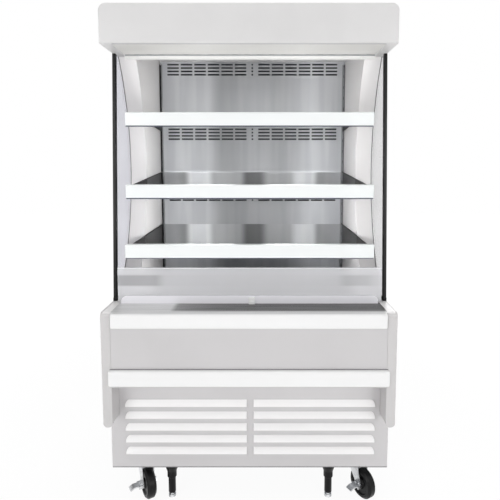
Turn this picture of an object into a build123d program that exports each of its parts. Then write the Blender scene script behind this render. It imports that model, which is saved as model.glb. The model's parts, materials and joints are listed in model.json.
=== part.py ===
from build123d import *
from math import cos, pi, radians, sin
import os

# Open multideck display fridge, self-contained, on casters. Millimetres.
# +X is to the right of someone who faces the shelves, -Y is the open front, +Z is up,
# and the origin lies on the floor under the middle of the cabinet.

# ---- Cabinet ----
WIDTH = 920.0  # over the two end walls
FRONT_Y = -350.0  # face of the base, behind its bumpers
REAR_Y = 368.5  # outer face of the rear wall
HEIGHT = 1625.0  # top of the roof and of the canopy
GROUND_GAP = 125.0  # floor to the underside of the chassis
SEAT_GAP = 0.3  # between pieces that slide into place beside one another
MOVE_GAP = 0.6  # around a piece that lifts out

# ---- Insulated walls ----
WING_T = 29.0  # end wall where it flanks the base
LINER_T = 37.0  # extra foam and liner where it flanks the shelves
REAR_T = 40.5  # rear wall
ROOF_T = 30.0  # roof
TUB_T = 40.0  # floor and front of the base tub
TUB_FLOOR_Z = 440.0  # underside of the tub
SILL_Z = 678.0  # top of the sill and of the wings
WING_BOTTOM_Z = 307.0  # lower end of the wings
WING_ROUND = 13.0  # rounding of the wing's lower end
WING_NOSE = 12.0  # rounding of the wing's upper front corner
KICK_Y = -278.0  # face of the louvred panel, set back under the base
SHOULDER_Z = 646.0  # ledge of the liner that the return-air grille lies on
EDGE_FOOT_Y = -178.0  # hollowed front edge of the end wall: foot, waist and head
EDGE_WAIST_Y = 0.0
EDGE_WAIST_Z = 1130.0
EDGE_HEAD_Y = -119.0

# ---- Sheet metal ----
SHEET = 1.5
SILL_SHEET = 2.0
PANEL_SHEET = 2.0
TRAY_SHEET = 3.0

# ---- Canopy ----
CANOPY_FRONT_Y = -290.0
CANOPY_REAR_Y = -95.0
CANOPY_H = 120.0
CANOPY_ROUND = 22.0  # upper corners, seen from the front
CANOPY_NOSE = 5.0  # edges around the fascia
CANOPY_SHEET = 2.5
SOFFIT_SIDE_FLANGE = 35.0  # flange under the canopy's sides
SOFFIT_FRONT_FLANGE = 10.0
SOFFIT_BEARING = 9.0  # how far the soffit lies on those flanges
SOFFIT_DEPTH = 94.0
HONEYCOMB_DEPTH = 58.0
HONEYCOMB_H = 18.0
HONEYCOMB_CELL = 26.0  # across corners
HONEYCOMB_PITCH = 12.0  # centre to flat, with half a cell wall
HONEYCOMB_FRAME = 5.0
CEILING_DROP = 21.0  # under the roof
LAMP_R = 11.0
LAMP_END_GAP = 14.0  # from the lamp to the end wall

# ---- Side panes ----
PANE_T = 5.0
PANE_REBATE = 20.0  # how far the pane lies in the end wall
TRIM_HEAD_Y = -165.0  # front edge of the trim under the canopy
TRIM_FOOT_Y = -222.0  # and on the wing
TRIM_W = 11.0
TRIM_DEPTH = 16.0
TRIM_WEB = 4.0

# ---- Air duct and shelf standards ----
DUCT_Y = 255.0  # face of the slotted steel back
SLOT_L = 49.0
SLOT_H = 7.0
SLOT_PITCH = 57.5
SLOT_END_GAP = 50.0  # least, from the last slot's middle to the end wall
SLOT_ROWS = 4
SLOT_ROW_PITCH = 14.0
SLOT_FIRST_X = 50.0  # centre of the slot nearest the middle
SLOT_SETS = (1005.0, 1269.0)  # middle height of each set of rows behind the shelves
SLOT_TOP_GAP = 33.0  # from the ceiling to the middle of the highest set
STANDARD_W = 10.0
STANDARD_DEPTH = 12.0
STANDARD_FOOT_Z = 640.0
STANDARD_HEAD_GAP = 14.0  # under the ceiling
HOOK_PITCH = 45.0
HOOK_FIRST_Z = 655.0
HOOK_SLOT_W = 4.0
HOOK_SLOT_H = 12.0

# ---- Shelves: hook slot counted from the foot, depth from the hooks, slope in degrees ----
LOWER_SHELF_DEPTH = 481.0
MIDDLE_SHELF_DEPTH = 461.0
UPPER_SHELF_DEPTH = 446.0
SHELVES = {
    "lower": (5, LOWER_SHELF_DEPTH, 1.2),
    "middle": (10, MIDDLE_SHELF_DEPTH, 4.9),
    "upper": (15, UPPER_SHELF_DEPTH, 3.5),
}
PAN_REAR_GAP = 5.0
PAN_FLANGE = 28.0
BRACKET_T = 2.6
BRACKET_FOOT = 50.0
BRACKET_TIP = 16.0
BRACKET_FLANGE = 16.0
RAIL_H = 44.0
RAIL_DEPTH = 12.0
RAIL_LIP = 9.0
RAIL_WALL = 2.0
RAIL_END_INSET = 52.0  # from the cabinet's side

# ---- Deck, grille, sill and guard ----
DECK_Z = 603.0
DECK_FRONT_Y = -166.0
DECK_UPSTAND = 42.0
DECK_LEDGE = 14.0
GRILLE_GAP = 2.0
GRILLE_SLOT_W = 8.0
GRILLE_SLOT_PITCH = 20.0
GRILLE_END_GAP = 25.0  # least, from the ends to the slots
SILL_REAR_Y = -243.0
SILL_RETURN = 10.0
GUARD_Y = -245.0
GUARD_T = 5.0
GUARD_END_INSET = 24.0
GUARD_TOP_Z = 795.0
GUARD_RAIL_INSET = 36.0
GUARD_RAIL_DEPTH = 18.0
GUARD_RAIL_H = 26.0
GUARD_RAIL_ROUND = 18.0
GUARD_RAIL_FLOOR = 6.0
CATCH_X = 7.0
CATCH_W = 21.0
CATCH_H = 23.0
CATCH_DEPTH = 8.0

# ---- Base front ----
BUMPER_PROUD = 18.5
BUMPER_ROUND = 9.0
BUMPER_END = 1.5  # bevel of its ends
UPPER_BUMPER_INSET = 35.5  # from the cabinet's side
UPPER_BUMPER_H = 47.0
LOWER_BUMPER_INSET = 24.5
LOWER_BUMPER_H = 51.0
LOWER_BUMPER_FOOT_Z = 446.0

# ---- Louvred panel ----
LOUVRE_OUTER_INSET = 50.0  # from the cabinet's side to a louvre
LOUVRE_MIDDLE_GAP = 10.0  # from the middle to the left column, with 3 more on the right
LOUVRE_H = 28.0
LOUVRE_PROUD = 11.0
LOUVRE_SKIN = 1.6
LOUVRE_ROWS = 5
LOUVRE_PITCH = 41.0
LOUVRE_FIRST_Z = 171.0  # lower lip of the lowest louvre
LOUVRE_END_ROUND = 17.0

# ---- Machine compartment ----
TRAY_FLANGE = 25.0
VENT_SLOT_W = 6.0
VENT_SLOT_H = 90.0
VENT_PITCH = 30.0
VENT_END_GAP = 60.0  # least, from the sides to the slots
COMPRESSOR_IN = 215.0  # from the cabinet's right side to the pot's axis
COMPRESSOR_Y = 170.0
COMPRESSOR_R = 88.0
COMPRESSOR_H = 190.0
COMPRESSOR_PLATE = (200.0, 160.0)
COMPRESSOR_PLATE_T = 6.0
COMPRESSOR_GROMMET = 10.0
COMPRESSOR_DOME = 52.0  # rounding of its shoulder
GROMMET_R = 11.0
GROMMET_INSET = 18.0
TERMINAL_W = 56.0
TERMINAL_H = 60.0
TERMINAL_UP = 50.0  # from the pot's foot
TERMINAL_OUT = 20.0
TERMINAL_IN = 14.0
CONDENSER_IN = 60.0  # from the cabinet's left side
CONDENSER_L = 460.0
CONDENSER_Y = -235.0
CONDENSER_DEPTH = 66.0
CONDENSER_H = 260.0
CONDENSER_FINS = 18
CONDENSER_ROWS = 5
FIN_T = 1.2
FIN_INSET = 2.0  # from the end plates' upper and lower edges
FIN_REACH = 12.0  # how far the fins stand out of their core
TUBE_R = 4.8
BEND_OUT = 12.8  # middle of the return bends, outside the end plates
END_PLATE_T = 3.0
SHROUD_DEPTH = 40.0
CONDENSER_FAN_R = 105.0
CONDENSER_MOTOR_R = 36.0
CONDENSER_MOTOR_L = 62.0
CONDENSER_SHAFT_R = 4.0
DRAIN_PAN_IN = 70.0
DRAIN_PAN_L = 320.0
DRAIN_PAN_Y = (70.0, 330.0)
DRAIN_PAN_H = 46.0
DRAIN_R = 8.0
CONTROL_IN = 40.0
CONTROL_L = 130.0
CONTROL_Y = (-240.0, -140.0)
CONTROL_H = 120.0
CONTROL_CORNER = 5.0
CONTROL_LID = 2.0
CONTROL_LID_H = 14.0

# ---- Evaporator under the deck ----
EVAPORATOR_END_GAP = 54.0  # room for the return bends
EVAPORATOR_Y = -40.0
EVAPORATOR_DEPTH = 132.0
EVAPORATOR_H = 118.0
EVAPORATOR_FINS = 24
FAN_PLATE_Y = -112.0
EVAP_FAN_X = 175.0
EVAP_FAN_R = 50.0
EVAP_MOTOR_R = 22.0
EVAP_MOTOR_L = 34.0
EVAP_RING_DEPTH = 24.0
EVAP_SHAFT_R = 3.0
FAN_TIP_GAP = 3.0
FAN_BLADES = 5

# ---- Casters and levelling legs ----
CASTER_IN = 92.0  # from the cabinet's side to a kingpin
CASTER_FRONT_Y = -217.0
CASTER_REAR_Y = 285.0
CASTER_TURN = 31.0  # degrees that the casters stand turned
TRAIL = 36.0
WHEEL_R = 50.0
WHEEL_W = 32.0
WHEEL_HUB_R = 15.0
WHEEL_HUB_OUT = 1.5  # the hub stands out of the rim's sides by this
WHEEL_RIM_R = 36.0
WHEEL_DISH = 5.0  # depth of the webs' recess
TREAD_ROUND = 7.0
AXLE_R = 6.0
AXLE_GAP = 0.3
PLATE_L = 96.0
PLATE_W = 76.0
PLATE_T = 4.0
PLATE_CORNER = 6.0
PLATE_HOLE = (9.0, 13.0)  # slotted for the bolts
PLATE_HOLE_INSET = 11.0
KINGPIN_R = 8.0
RACE_R = 35.0
RACE_H = 12.0
CHEEK_T = 3.0
CHEEK_GAP = 3.0
CROWN_T = 4.0
CROWN_L = 58.0
CROWN_BACK = 6.0  # how far its middle lies behind the kingpin
RACE_CHAMFER = 4.0
LEVER_PIN_R = 2.5
LEVER_W = 24.0
LEVER_L = 34.0
LEVER_T = 4.0
LEVER_PIN_OUT = 9.0
LEG_IN = 193.0
LEG_Y = -250.0
LEG_FLANGE_R = 24.0
LEG_FLANGE_T = 6.0
LEG_FLARE_Z = 112.0  # where the sleeve's flare ends
LEG_COLLAR_Z = 76.0
LEG_COLLAR_H = 18.0
LEG_COLLAR_OUT = 3.5
LEG_R = 12.5
LEG_BORE_R = 8.0
FOOT_R = 11.5
FOOT_STEM_R = 7.4
FOOT_H = 12.0
FOOT_LIFT = 2.0  # feet wound up clear of the floor
FOOT_TRAVEL = 5.0
FOOT_STEM_L = 60.0

# ---- Worked out from the sizes above ----
HALF = WIDTH / 2
WING_IN = HALF - WING_T  # inner face of the end wall beside the base
LINER_IN = WING_IN - LINER_T  # inner face beside the shelves
REAR_IN_Y = REAR_Y - REAR_T
ROOF_FOOT_Z = HEIGHT - ROOF_T
CANOPY_FOOT_Z = HEIGHT - CANOPY_H
CEILING_Z = ROOF_FOOT_Z - CEILING_DROP
STANDARD_HEAD_Z = CEILING_Z - STANDARD_HEAD_GAP
LAMP_L = 2 * (LINER_IN - LAMP_END_GAP)
RAIL_HALF = HALF - RAIL_END_INSET
GUARD_HALF = HALF - GUARD_END_INSET
GUARD_RAIL_HALF = HALF - GUARD_RAIL_INSET
UPPER_BUMPER_HALF = HALF - UPPER_BUMPER_INSET
LOWER_BUMPER_HALF = HALF - LOWER_BUMPER_INSET
LOUVRE_L = HALF - LOUVRE_OUTER_INSET - LOUVRE_MIDDLE_GAP
LOUVRE_COLUMNS = (-LOUVRE_MIDDLE_GAP - LOUVRE_L / 2, LOUVRE_MIDDLE_GAP + 3 + LOUVRE_L / 2)
EVAPORATOR_HALF = LINER_IN - EVAPORATOR_END_GAP
TUB_DECK_Z = TUB_FLOOR_Z + TUB_T
PANEL_FOLD_Z = TUB_FLOOR_Z - PANEL_SHEET  # the front panel folds back under the tub here
TUB_FRONT_Y = FRONT_Y + PANEL_SHEET
TUB_FRONT_IN_Y = TUB_FRONT_Y + TUB_T
SILL_FOOT_Z = SILL_Z - SILL_SHEET
FLANGE_TOP_Z = CANOPY_FOOT_Z + CANOPY_SHEET
SOFFIT_HALF = HALF - SOFFIT_SIDE_FLANGE + SOFFIT_BEARING
SOFFIT_FRONT_Y = CANOPY_FRONT_Y + SOFFIT_FRONT_FLANGE - 4.0
HONEYCOMB_FRONT_Y = SOFFIT_FRONT_Y + SOFFIT_DEPTH
LAMP_FRONT_Y = HONEYCOMB_FRONT_Y + HONEYCOMB_DEPTH
HOOK_Y = DUCT_Y - STANDARD_DEPTH
BRACKET_OUT = LINER_IN - 4.0
BRACKET_IN = BRACKET_OUT - BRACKET_T
PAN_HALF = BRACKET_IN - SEAT_GAP
TRAY_TOP_Z = GROUND_GAP + TRAY_SHEET
CONDENSER_MIDDLE_Z = TRAY_TOP_Z + CONDENSER_H / 2
EVAP_FAN_Z = (TUB_DECK_Z + DECK_Z - SHEET) / 2
BODY_HALF = WING_IN - SEAT_GAP
SLOTS_A_SIDE = int((LINER_IN - SLOT_END_GAP - SLOT_FIRST_X) // SLOT_PITCH) + 1
GRILLE_SLOT_COUNT = int(2 * (BODY_HALF - GRILLE_END_GAP) // GRILLE_SLOT_PITCH)
VENT_COUNT = int(2 * (BODY_HALF - VENT_END_GAP) // VENT_PITCH)
COMPRESSOR_AT = (HALF - COMPRESSOR_IN, COMPRESSOR_Y)
CONDENSER_X = (CONDENSER_IN - HALF, CONDENSER_IN - HALF + CONDENSER_L)
DRAIN_PAN_X = (DRAIN_PAN_IN - HALF, DRAIN_PAN_IN - HALF + DRAIN_PAN_L)
CONTROL_X = (HALF - CONTROL_IN - CONTROL_L, HALF - CONTROL_IN)
CASTER_X = HALF - CASTER_IN
LEG_X = HALF - LEG_IN

os.makedirs("parts", exist_ok=True)


def keep(piece, name):
    """Label a finished piece and write it to its own file."""
    piece.label = name
    export_step(piece, f"parts/{name}.step")


def block(x, y, z, mode=Mode.ADD):
    """A box in the part being built, from its low and high limits on each axis."""
    with Locations(((x[0] + x[1]) / 2, (y[0] + y[1]) / 2, (z[0] + z[1]) / 2)):
        Box(x[1] - x[0], y[1] - y[0], z[1] - z[0], mode=mode)


# ======================= insulated cabinet =======================


def end_wall(side, name):
    """Foamed end wall. It flanks the base as a thin wing and thickens beside the shelves,
    where its front edge is hollowed back between the sill and the canopy."""
    with BuildPart() as wall:
        with BuildSketch(Plane.YZ.offset(side * HALF)):
            with BuildLine():
                Polyline(
                    (EDGE_HEAD_Y, CANOPY_FOOT_Z),
                    (CANOPY_REAR_Y, CANOPY_FOOT_Z),
                    (CANOPY_REAR_Y, ROOF_FOOT_Z),
                    (REAR_Y, ROOF_FOOT_Z),
                    (REAR_Y, GROUND_GAP),
                    (KICK_Y + PANEL_SHEET, GROUND_GAP),
                    (KICK_Y + PANEL_SHEET, WING_BOTTOM_Z),
                    (FRONT_Y, WING_BOTTOM_Z),
                    (FRONT_Y, SILL_Z),
                    (EDGE_FOOT_Y, SILL_Z),
                )
                ThreePointArc(
                    (EDGE_FOOT_Y, SILL_Z), (EDGE_WAIST_Y, EDGE_WAIST_Z), (EDGE_HEAD_Y, CANOPY_FOOT_Z)
                )
            make_face()
        extrude(amount=-side * WING_T)
        lower_edges = (
            wall.edges().filter_by(Axis.Y).filter_by_position(Axis.Z, WING_BOTTOM_Z - 1, WING_BOTTOM_Z + 1)
        )
        fillet(lower_edges, radius=WING_ROUND)
        nose = wall.edges().filter_by(Axis.X).group_by(Axis.Y)[0].sort_by(Axis.Z)[-1]
        fillet(nose, radius=WING_NOSE)
        with BuildSketch(Plane.YZ.offset(side * WING_IN)):
            with BuildLine():
                Polyline(
                    (EDGE_HEAD_Y, CANOPY_FOOT_Z),
                    (CANOPY_REAR_Y, CANOPY_FOOT_Z),
                    (CANOPY_REAR_Y, ROOF_FOOT_Z),
                    (REAR_IN_Y - SEAT_GAP, ROOF_FOOT_Z),
                    (REAR_IN_Y - SEAT_GAP, TUB_DECK_Z),
                    (TUB_FRONT_IN_Y + SEAT_GAP, TUB_DECK_Z),
                    (TUB_FRONT_IN_Y + SEAT_GAP, SHOULDER_Z),
                    (EDGE_FOOT_Y, SHOULDER_Z),
                    (EDGE_FOOT_Y, SILL_Z),
                )
                ThreePointArc(
                    (EDGE_FOOT_Y, SILL_Z), (EDGE_WAIST_Y, EDGE_WAIST_Z), (EDGE_HEAD_Y, CANOPY_FOOT_Z)
                )
            make_face()
        extrude(amount=-side * LINER_T)
        # rebate that takes the rear edge of the clear side pane
        with BuildSketch(Plane.YZ.offset(side * HALF)):
            pane_outline(PANE_REBATE + SEAT_GAP, 0)
        extrude(amount=-side * (PANE_T + 2 * SEAT_GAP), mode=Mode.SUBTRACT)
    keep(wall.part, name)


def pane_outline(set_in, gap):
    """Face of a side pane: a leaning front edge, and a rear edge that follows the hollowed
    edge of the end wall, set_in behind it. gap is left at the sill and the canopy."""
    foot_z = SILL_Z + gap
    head_z = CANOPY_FOOT_Z - gap
    with BuildLine() as edge:
        Polyline(
            (EDGE_FOOT_Y + set_in, foot_z),
            (TRIM_FOOT_Y + TRIM_WEB, foot_z),
            (TRIM_HEAD_Y + TRIM_WEB, head_z),
            (EDGE_HEAD_Y + set_in, head_z),
        )
        ThreePointArc(
            (EDGE_HEAD_Y + set_in, head_z),
            (EDGE_WAIST_Y + set_in, EDGE_WAIST_Z),
            (EDGE_FOOT_Y + set_in, foot_z),
        )
    make_face(edge.edges())


def side_pane(side, name):
    """Clear pane that closes the side in front of the end wall's hollowed edge."""
    with BuildPart() as pane:
        with BuildSketch(Plane.YZ.offset(side * (HALF - SEAT_GAP))):
            pane_outline(PANE_REBATE, SEAT_GAP)
        extrude(amount=-side * PANE_T)
    keep(pane.part, name)


def pane_trims():
    """Black channels on the leaning front edges of both panes."""
    with BuildPart() as trims:
        for side in (-1, 1):
            with BuildSketch(Plane.YZ.offset(side * HALF)):
                with BuildLine():
                    Polyline(
                        (TRIM_FOOT_Y, SILL_Z),
                        (TRIM_FOOT_Y + TRIM_DEPTH, SILL_Z),
                        (TRIM_HEAD_Y + TRIM_DEPTH, CANOPY_FOOT_Z),
                        (TRIM_HEAD_Y, CANOPY_FOOT_Z),
                        close=True,
                    )
                make_face()
            extrude(amount=-side * TRIM_W)
            with BuildSketch(Plane.YZ.offset(side * HALF)):
                with BuildLine():
                    Polyline(
                        (TRIM_FOOT_Y + TRIM_WEB - SEAT_GAP, SILL_Z),
                        (TRIM_FOOT_Y + TRIM_DEPTH, SILL_Z),
                        (TRIM_HEAD_Y + TRIM_DEPTH, CANOPY_FOOT_Z),
                        (TRIM_HEAD_Y + TRIM_WEB - SEAT_GAP, CANOPY_FOOT_Z),
                        close=True,
                    )
                make_face()
            extrude(amount=-side * (PANE_T + 2 * SEAT_GAP), mode=Mode.SUBTRACT)
    keep(trims.part, "pane_trims")


def rear_wall():
    with BuildPart() as wall:
        block((-BODY_HALF, BODY_HALF), (REAR_IN_Y, REAR_Y), (TUB_FLOOR_Z, ROOF_FOOT_Z))
    keep(wall.part, "rear_wall")


def base_tub():
    """Foamed floor and front of the well under the deck, with a drain hole."""
    with BuildPart() as tub:
        with BuildSketch(Plane.YZ.offset(-BODY_HALF)):
            with BuildLine():
                Polyline(
                    (TUB_FRONT_Y, TUB_FLOOR_Z),
                    (TUB_FRONT_Y, SILL_FOOT_Z),
                    (TUB_FRONT_IN_Y, SILL_FOOT_Z),
                    (TUB_FRONT_IN_Y, TUB_DECK_Z),
                    (REAR_IN_Y - SEAT_GAP, TUB_DECK_Z),
                    (REAR_IN_Y - SEAT_GAP, TUB_FLOOR_Z),
                    close=True,
                )
            make_face()
        extrude(amount=2 * BODY_HALF)
        # drain spigot down into the drain pan
        drain = (sum(DRAIN_PAN_X) / 2, sum(DRAIN_PAN_Y) / 2)
        with BuildSketch(Plane.XY.offset(TRAY_TOP_Z + DRAIN_PAN_H / 2)):
            with Locations(drain):
                Circle(DRAIN_R + 2.5)
        extrude(until=Until.NEXT)
        with BuildSketch(Plane.XY.offset(TRAY_TOP_Z + DRAIN_PAN_H / 2)):
            with Locations(drain):
                Circle(DRAIN_R)
        extrude(amount=TUB_DECK_Z - TRAY_TOP_Z, mode=Mode.SUBTRACT)
    keep(tub.part, "base_tub")


def roof_panel():
    with BuildPart() as roof:
        block((-HALF, HALF), (CANOPY_REAR_Y + SEAT_GAP, REAR_Y), (ROOF_FOOT_Z, HEIGHT))
        top_sides = roof.edges().filter_by(Axis.Y).group_by(Axis.Z)[-1]
        fillet(top_sides, radius=CANOPY_ROUND)
    keep(roof.part, "roof_panel")


# ======================= canopy =======================


def canopy_shell():
    """Folded hood with rounded upper corners. It is open to the rear, and its underside is
    flanges around the soffit opening."""
    with BuildPart() as shell:
        block((-HALF, HALF), (CANOPY_FRONT_Y, CANOPY_REAR_Y), (CANOPY_FOOT_Z, HEIGHT))
        fillet(shell.edges().filter_by(Axis.Y).group_by(Axis.Z)[-1], radius=CANOPY_ROUND)
        fillet(shell.faces().sort_by(Axis.Y)[0].edges(), radius=CANOPY_NOSE)
        inner_half = HALF - CANOPY_SHEET
        with BuildSketch(Plane.XZ.offset(-CANOPY_REAR_Y)):
            with Locations((0, (FLANGE_TOP_Z + HEIGHT - CANOPY_SHEET) / 2)):
                inside = Rectangle(2 * inner_half, HEIGHT - CANOPY_SHEET - FLANGE_TOP_Z)
            fillet(inside.vertices().group_by(Axis.Y)[-1], radius=CANOPY_ROUND - CANOPY_SHEET)
        extrude(amount=CANOPY_REAR_Y - CANOPY_FRONT_Y - CANOPY_SHEET, mode=Mode.SUBTRACT)
        opening_half = HALF - SOFFIT_SIDE_FLANGE
        block(
            (-opening_half, opening_half),
            (CANOPY_FRONT_Y + SOFFIT_FRONT_FLANGE, CANOPY_REAR_Y + 1),
            (CANOPY_FOOT_Z - 1, FLANGE_TOP_Z + 1),
            Mode.SUBTRACT,
        )
    keep(shell.part, "canopy_shell")


def canopy_soffit():
    with BuildPart() as soffit:
        block(
            (-SOFFIT_HALF, SOFFIT_HALF),
            (SOFFIT_FRONT_Y, HONEYCOMB_FRONT_Y),
            (FLANGE_TOP_Z, FLANGE_TOP_Z + SHEET),
        )
        # stiffening fold at the rear edge
        block(
            (-SOFFIT_HALF, SOFFIT_HALF),
            (HONEYCOMB_FRONT_Y - SHEET, HONEYCOMB_FRONT_Y),
            (FLANGE_TOP_Z, FLANGE_TOP_Z + HONEYCOMB_H),
        )
    keep(soffit.part, "canopy_soffit")


def air_honeycomb():
    """Straightener that the air curtain leaves through: a frame full of six-sided cells."""
    cell_rows = int((HONEYCOMB_DEPTH - 2 * HONEYCOMB_FRAME) // (2 * HONEYCOMB_PITCH))
    cell_columns = int((2 * SOFFIT_HALF - 2 * HONEYCOMB_FRAME) // (HONEYCOMB_PITCH * 3**0.5)) - 1
    with BuildPart() as honeycomb:
        with BuildSketch(Plane.XY.offset(FLANGE_TOP_Z)):
            with Locations((0, HONEYCOMB_FRONT_Y + HONEYCOMB_DEPTH / 2)):
                Rectangle(2 * SOFFIT_HALF, HONEYCOMB_DEPTH)
                with HexLocations(HONEYCOMB_PITCH, cell_columns, cell_rows):
                    RegularPolygon(HONEYCOMB_CELL / 2, 6, mode=Mode.SUBTRACT)
        extrude(amount=HONEYCOMB_H)
    keep(honeycomb.part, "air_honeycomb")


def ceiling_liner():
    """Ceiling over the top shelf. Its side flanges hang it from the roof, and its front edge
    folds down into the ledge that carries the lamp."""
    half = LINER_IN - SEAT_GAP
    front_y = CANOPY_REAR_Y - SHEET - SEAT_GAP
    rear_y = DUCT_Y
    with BuildPart() as liner:
        block((-half, half), (front_y, rear_y), (CEILING_Z, CEILING_Z + SHEET))
        for side in (-1, 1):
            edge = sorted((side * half, side * (half - SHEET)))
            block(edge, (CANOPY_REAR_Y + SEAT_GAP, rear_y), (CEILING_Z, ROOF_FOOT_Z))
        block((-half, half), (front_y, front_y + SHEET), (FLANGE_TOP_Z, CEILING_Z + SHEET))
        block(
            (-SOFFIT_HALF, SOFFIT_HALF),
            (LAMP_FRONT_Y, front_y + SHEET),
            (FLANGE_TOP_Z, FLANGE_TOP_Z + SHEET),
        )
    keep(liner.part, "ceiling_liner")


def lamp_diffuser():
    """Half-round light strip under the ceiling's front ledge."""
    middle_y = (LAMP_FRONT_Y + CANOPY_REAR_Y) / 2
    with BuildPart() as lamp:
        with BuildSketch(Plane.YZ.offset(-LAMP_L / 2)):
            with BuildLine():
                Line((middle_y - LAMP_R, FLANGE_TOP_Z), (middle_y + LAMP_R, FLANGE_TOP_Z))
                ThreePointArc(
                    (middle_y + LAMP_R, FLANGE_TOP_Z),
                    (middle_y, FLANGE_TOP_Z - LAMP_R),
                    (middle_y - LAMP_R, FLANGE_TOP_Z),
                )
            make_face()
        extrude(amount=LAMP_L)
    keep(lamp.part, "lamp_diffuser")


# ======================= back of the display =======================


def back_duct_panel():
    """Steel back with rows of air slots. Its side flanges stand it off the rear wall and its
    foot folds forward into a ledge for the deck."""
    half = LINER_IN - SEAT_GAP
    foot_z = DECK_Z - 2 * SHEET
    rows_up = [(row - (SLOT_ROWS - 1) / 2) * SLOT_ROW_PITCH for row in range(SLOT_ROWS)]
    set_heights = (*SLOT_SETS, CEILING_Z - SLOT_TOP_GAP)
    row_heights = [middle_z + row_up for middle_z in set_heights for row_up in rows_up]
    columns = [SLOT_FIRST_X + slot * SLOT_PITCH for slot in range(SLOTS_A_SIDE)]
    slots = [(side * x, z) for side in (-1, 1) for x in columns for z in row_heights]
    with BuildPart() as panel:
        block((-half, half), (DUCT_Y, DUCT_Y + SHEET), (foot_z, CEILING_Z))
        for side in (-1, 1):
            edge = sorted((side * half, side * (half - SHEET)))
            block(edge, (DUCT_Y, REAR_IN_Y - SEAT_GAP), (foot_z, CEILING_Z))
        block((-half, half), (DUCT_Y - DECK_LEDGE, DUCT_Y + SHEET), (foot_z, foot_z + SHEET))
        with BuildSketch(Plane.XZ.offset(-DUCT_Y)):
            with Locations(*slots):
                Rectangle(SLOT_L, SLOT_H)
            with Locations(*[(0, z) for z in row_heights]):
                Rectangle(SLOT_H, SLOT_H)
        extrude(amount=-SHEET, mode=Mode.SUBTRACT)
    keep(panel.part, "back_duct_panel")


def hook_z(slot_number):
    """Height of a hook slot, counted from the foot of the standards."""
    return HOOK_FIRST_Z + slot_number * HOOK_PITCH


def shelf_standards():
    """Two slotted uprights in the rear corners that the shelf brackets hook into."""
    count = int((STANDARD_HEAD_Z - HOOK_FIRST_Z) // HOOK_PITCH)
    with BuildPart() as standards:
        for side in (-1, 1):
            outer = side * (LINER_IN - MOVE_GAP)
            inner = outer - side * STANDARD_W
            span = sorted((outer, inner))
            block(span, (HOOK_Y, DUCT_Y), (STANDARD_FOOT_Z, STANDARD_HEAD_Z))
            hollow = (span[0] + SHEET, span[1] - SHEET)
            block(hollow, (HOOK_Y + SHEET, DUCT_Y), (STANDARD_FOOT_Z, STANDARD_HEAD_Z), Mode.SUBTRACT)
            hook_x = side * (BRACKET_IN + BRACKET_T / 2)
            with BuildSketch(Plane.XZ.offset(-HOOK_Y)):
                with Locations(*[(hook_x, hook_z(slot)) for slot in range(count + 1)]):
                    Rectangle(HOOK_SLOT_W, HOOK_SLOT_H)
            extrude(amount=-SHEET, mode=Mode.SUBTRACT)
    keep(standards.part, "shelf_standards")


# ======================= shelves =======================


def shelf_seat(slot_number, slope):
    """Plane of a shelf: its origin on the hooks' line, its y axis up the slope to the rear."""
    tip = radians(slope)
    return Plane(origin=(0, HOOK_Y, hook_z(slot_number)), x_dir=(1, 0, 0), z_dir=(0, -sin(tip), cos(tip)))


def seat_side(seat, x):
    """The plane across a shelf at x, where a sketch's x runs up the slope and its y upward."""
    origin = seat.from_local_coords(Vector(x, 0, 0))
    return Plane(origin=origin, x_dir=seat.y_dir, z_dir=seat.x_dir)


def shelf_pan(seat, depth, name):
    """Folded steel pan: a front flange and a stiffener underneath."""
    side_flange = 12.0
    with BuildPart(seat) as pan:
        block((-PAN_HALF, PAN_HALF), (-depth, -PAN_REAR_GAP), (0, SHEET))
        block((-PAN_HALF, PAN_HALF), (-depth, -depth + SHEET), (-PAN_FLANGE, 0))
        stiffener_half = PAN_HALF - BRACKET_FLANGE - side_flange
        block((-stiffener_half, stiffener_half), (-depth / 2 - 25, -depth / 2 + 25), (-side_flange, 0))
        block(
            (-stiffener_half, stiffener_half),
            (-depth / 2 - 25 + SHEET, -depth / 2 + 25 - SHEET),
            (-side_flange, -SHEET),
            Mode.SUBTRACT,
        )
    keep(pan.part, name)


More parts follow.
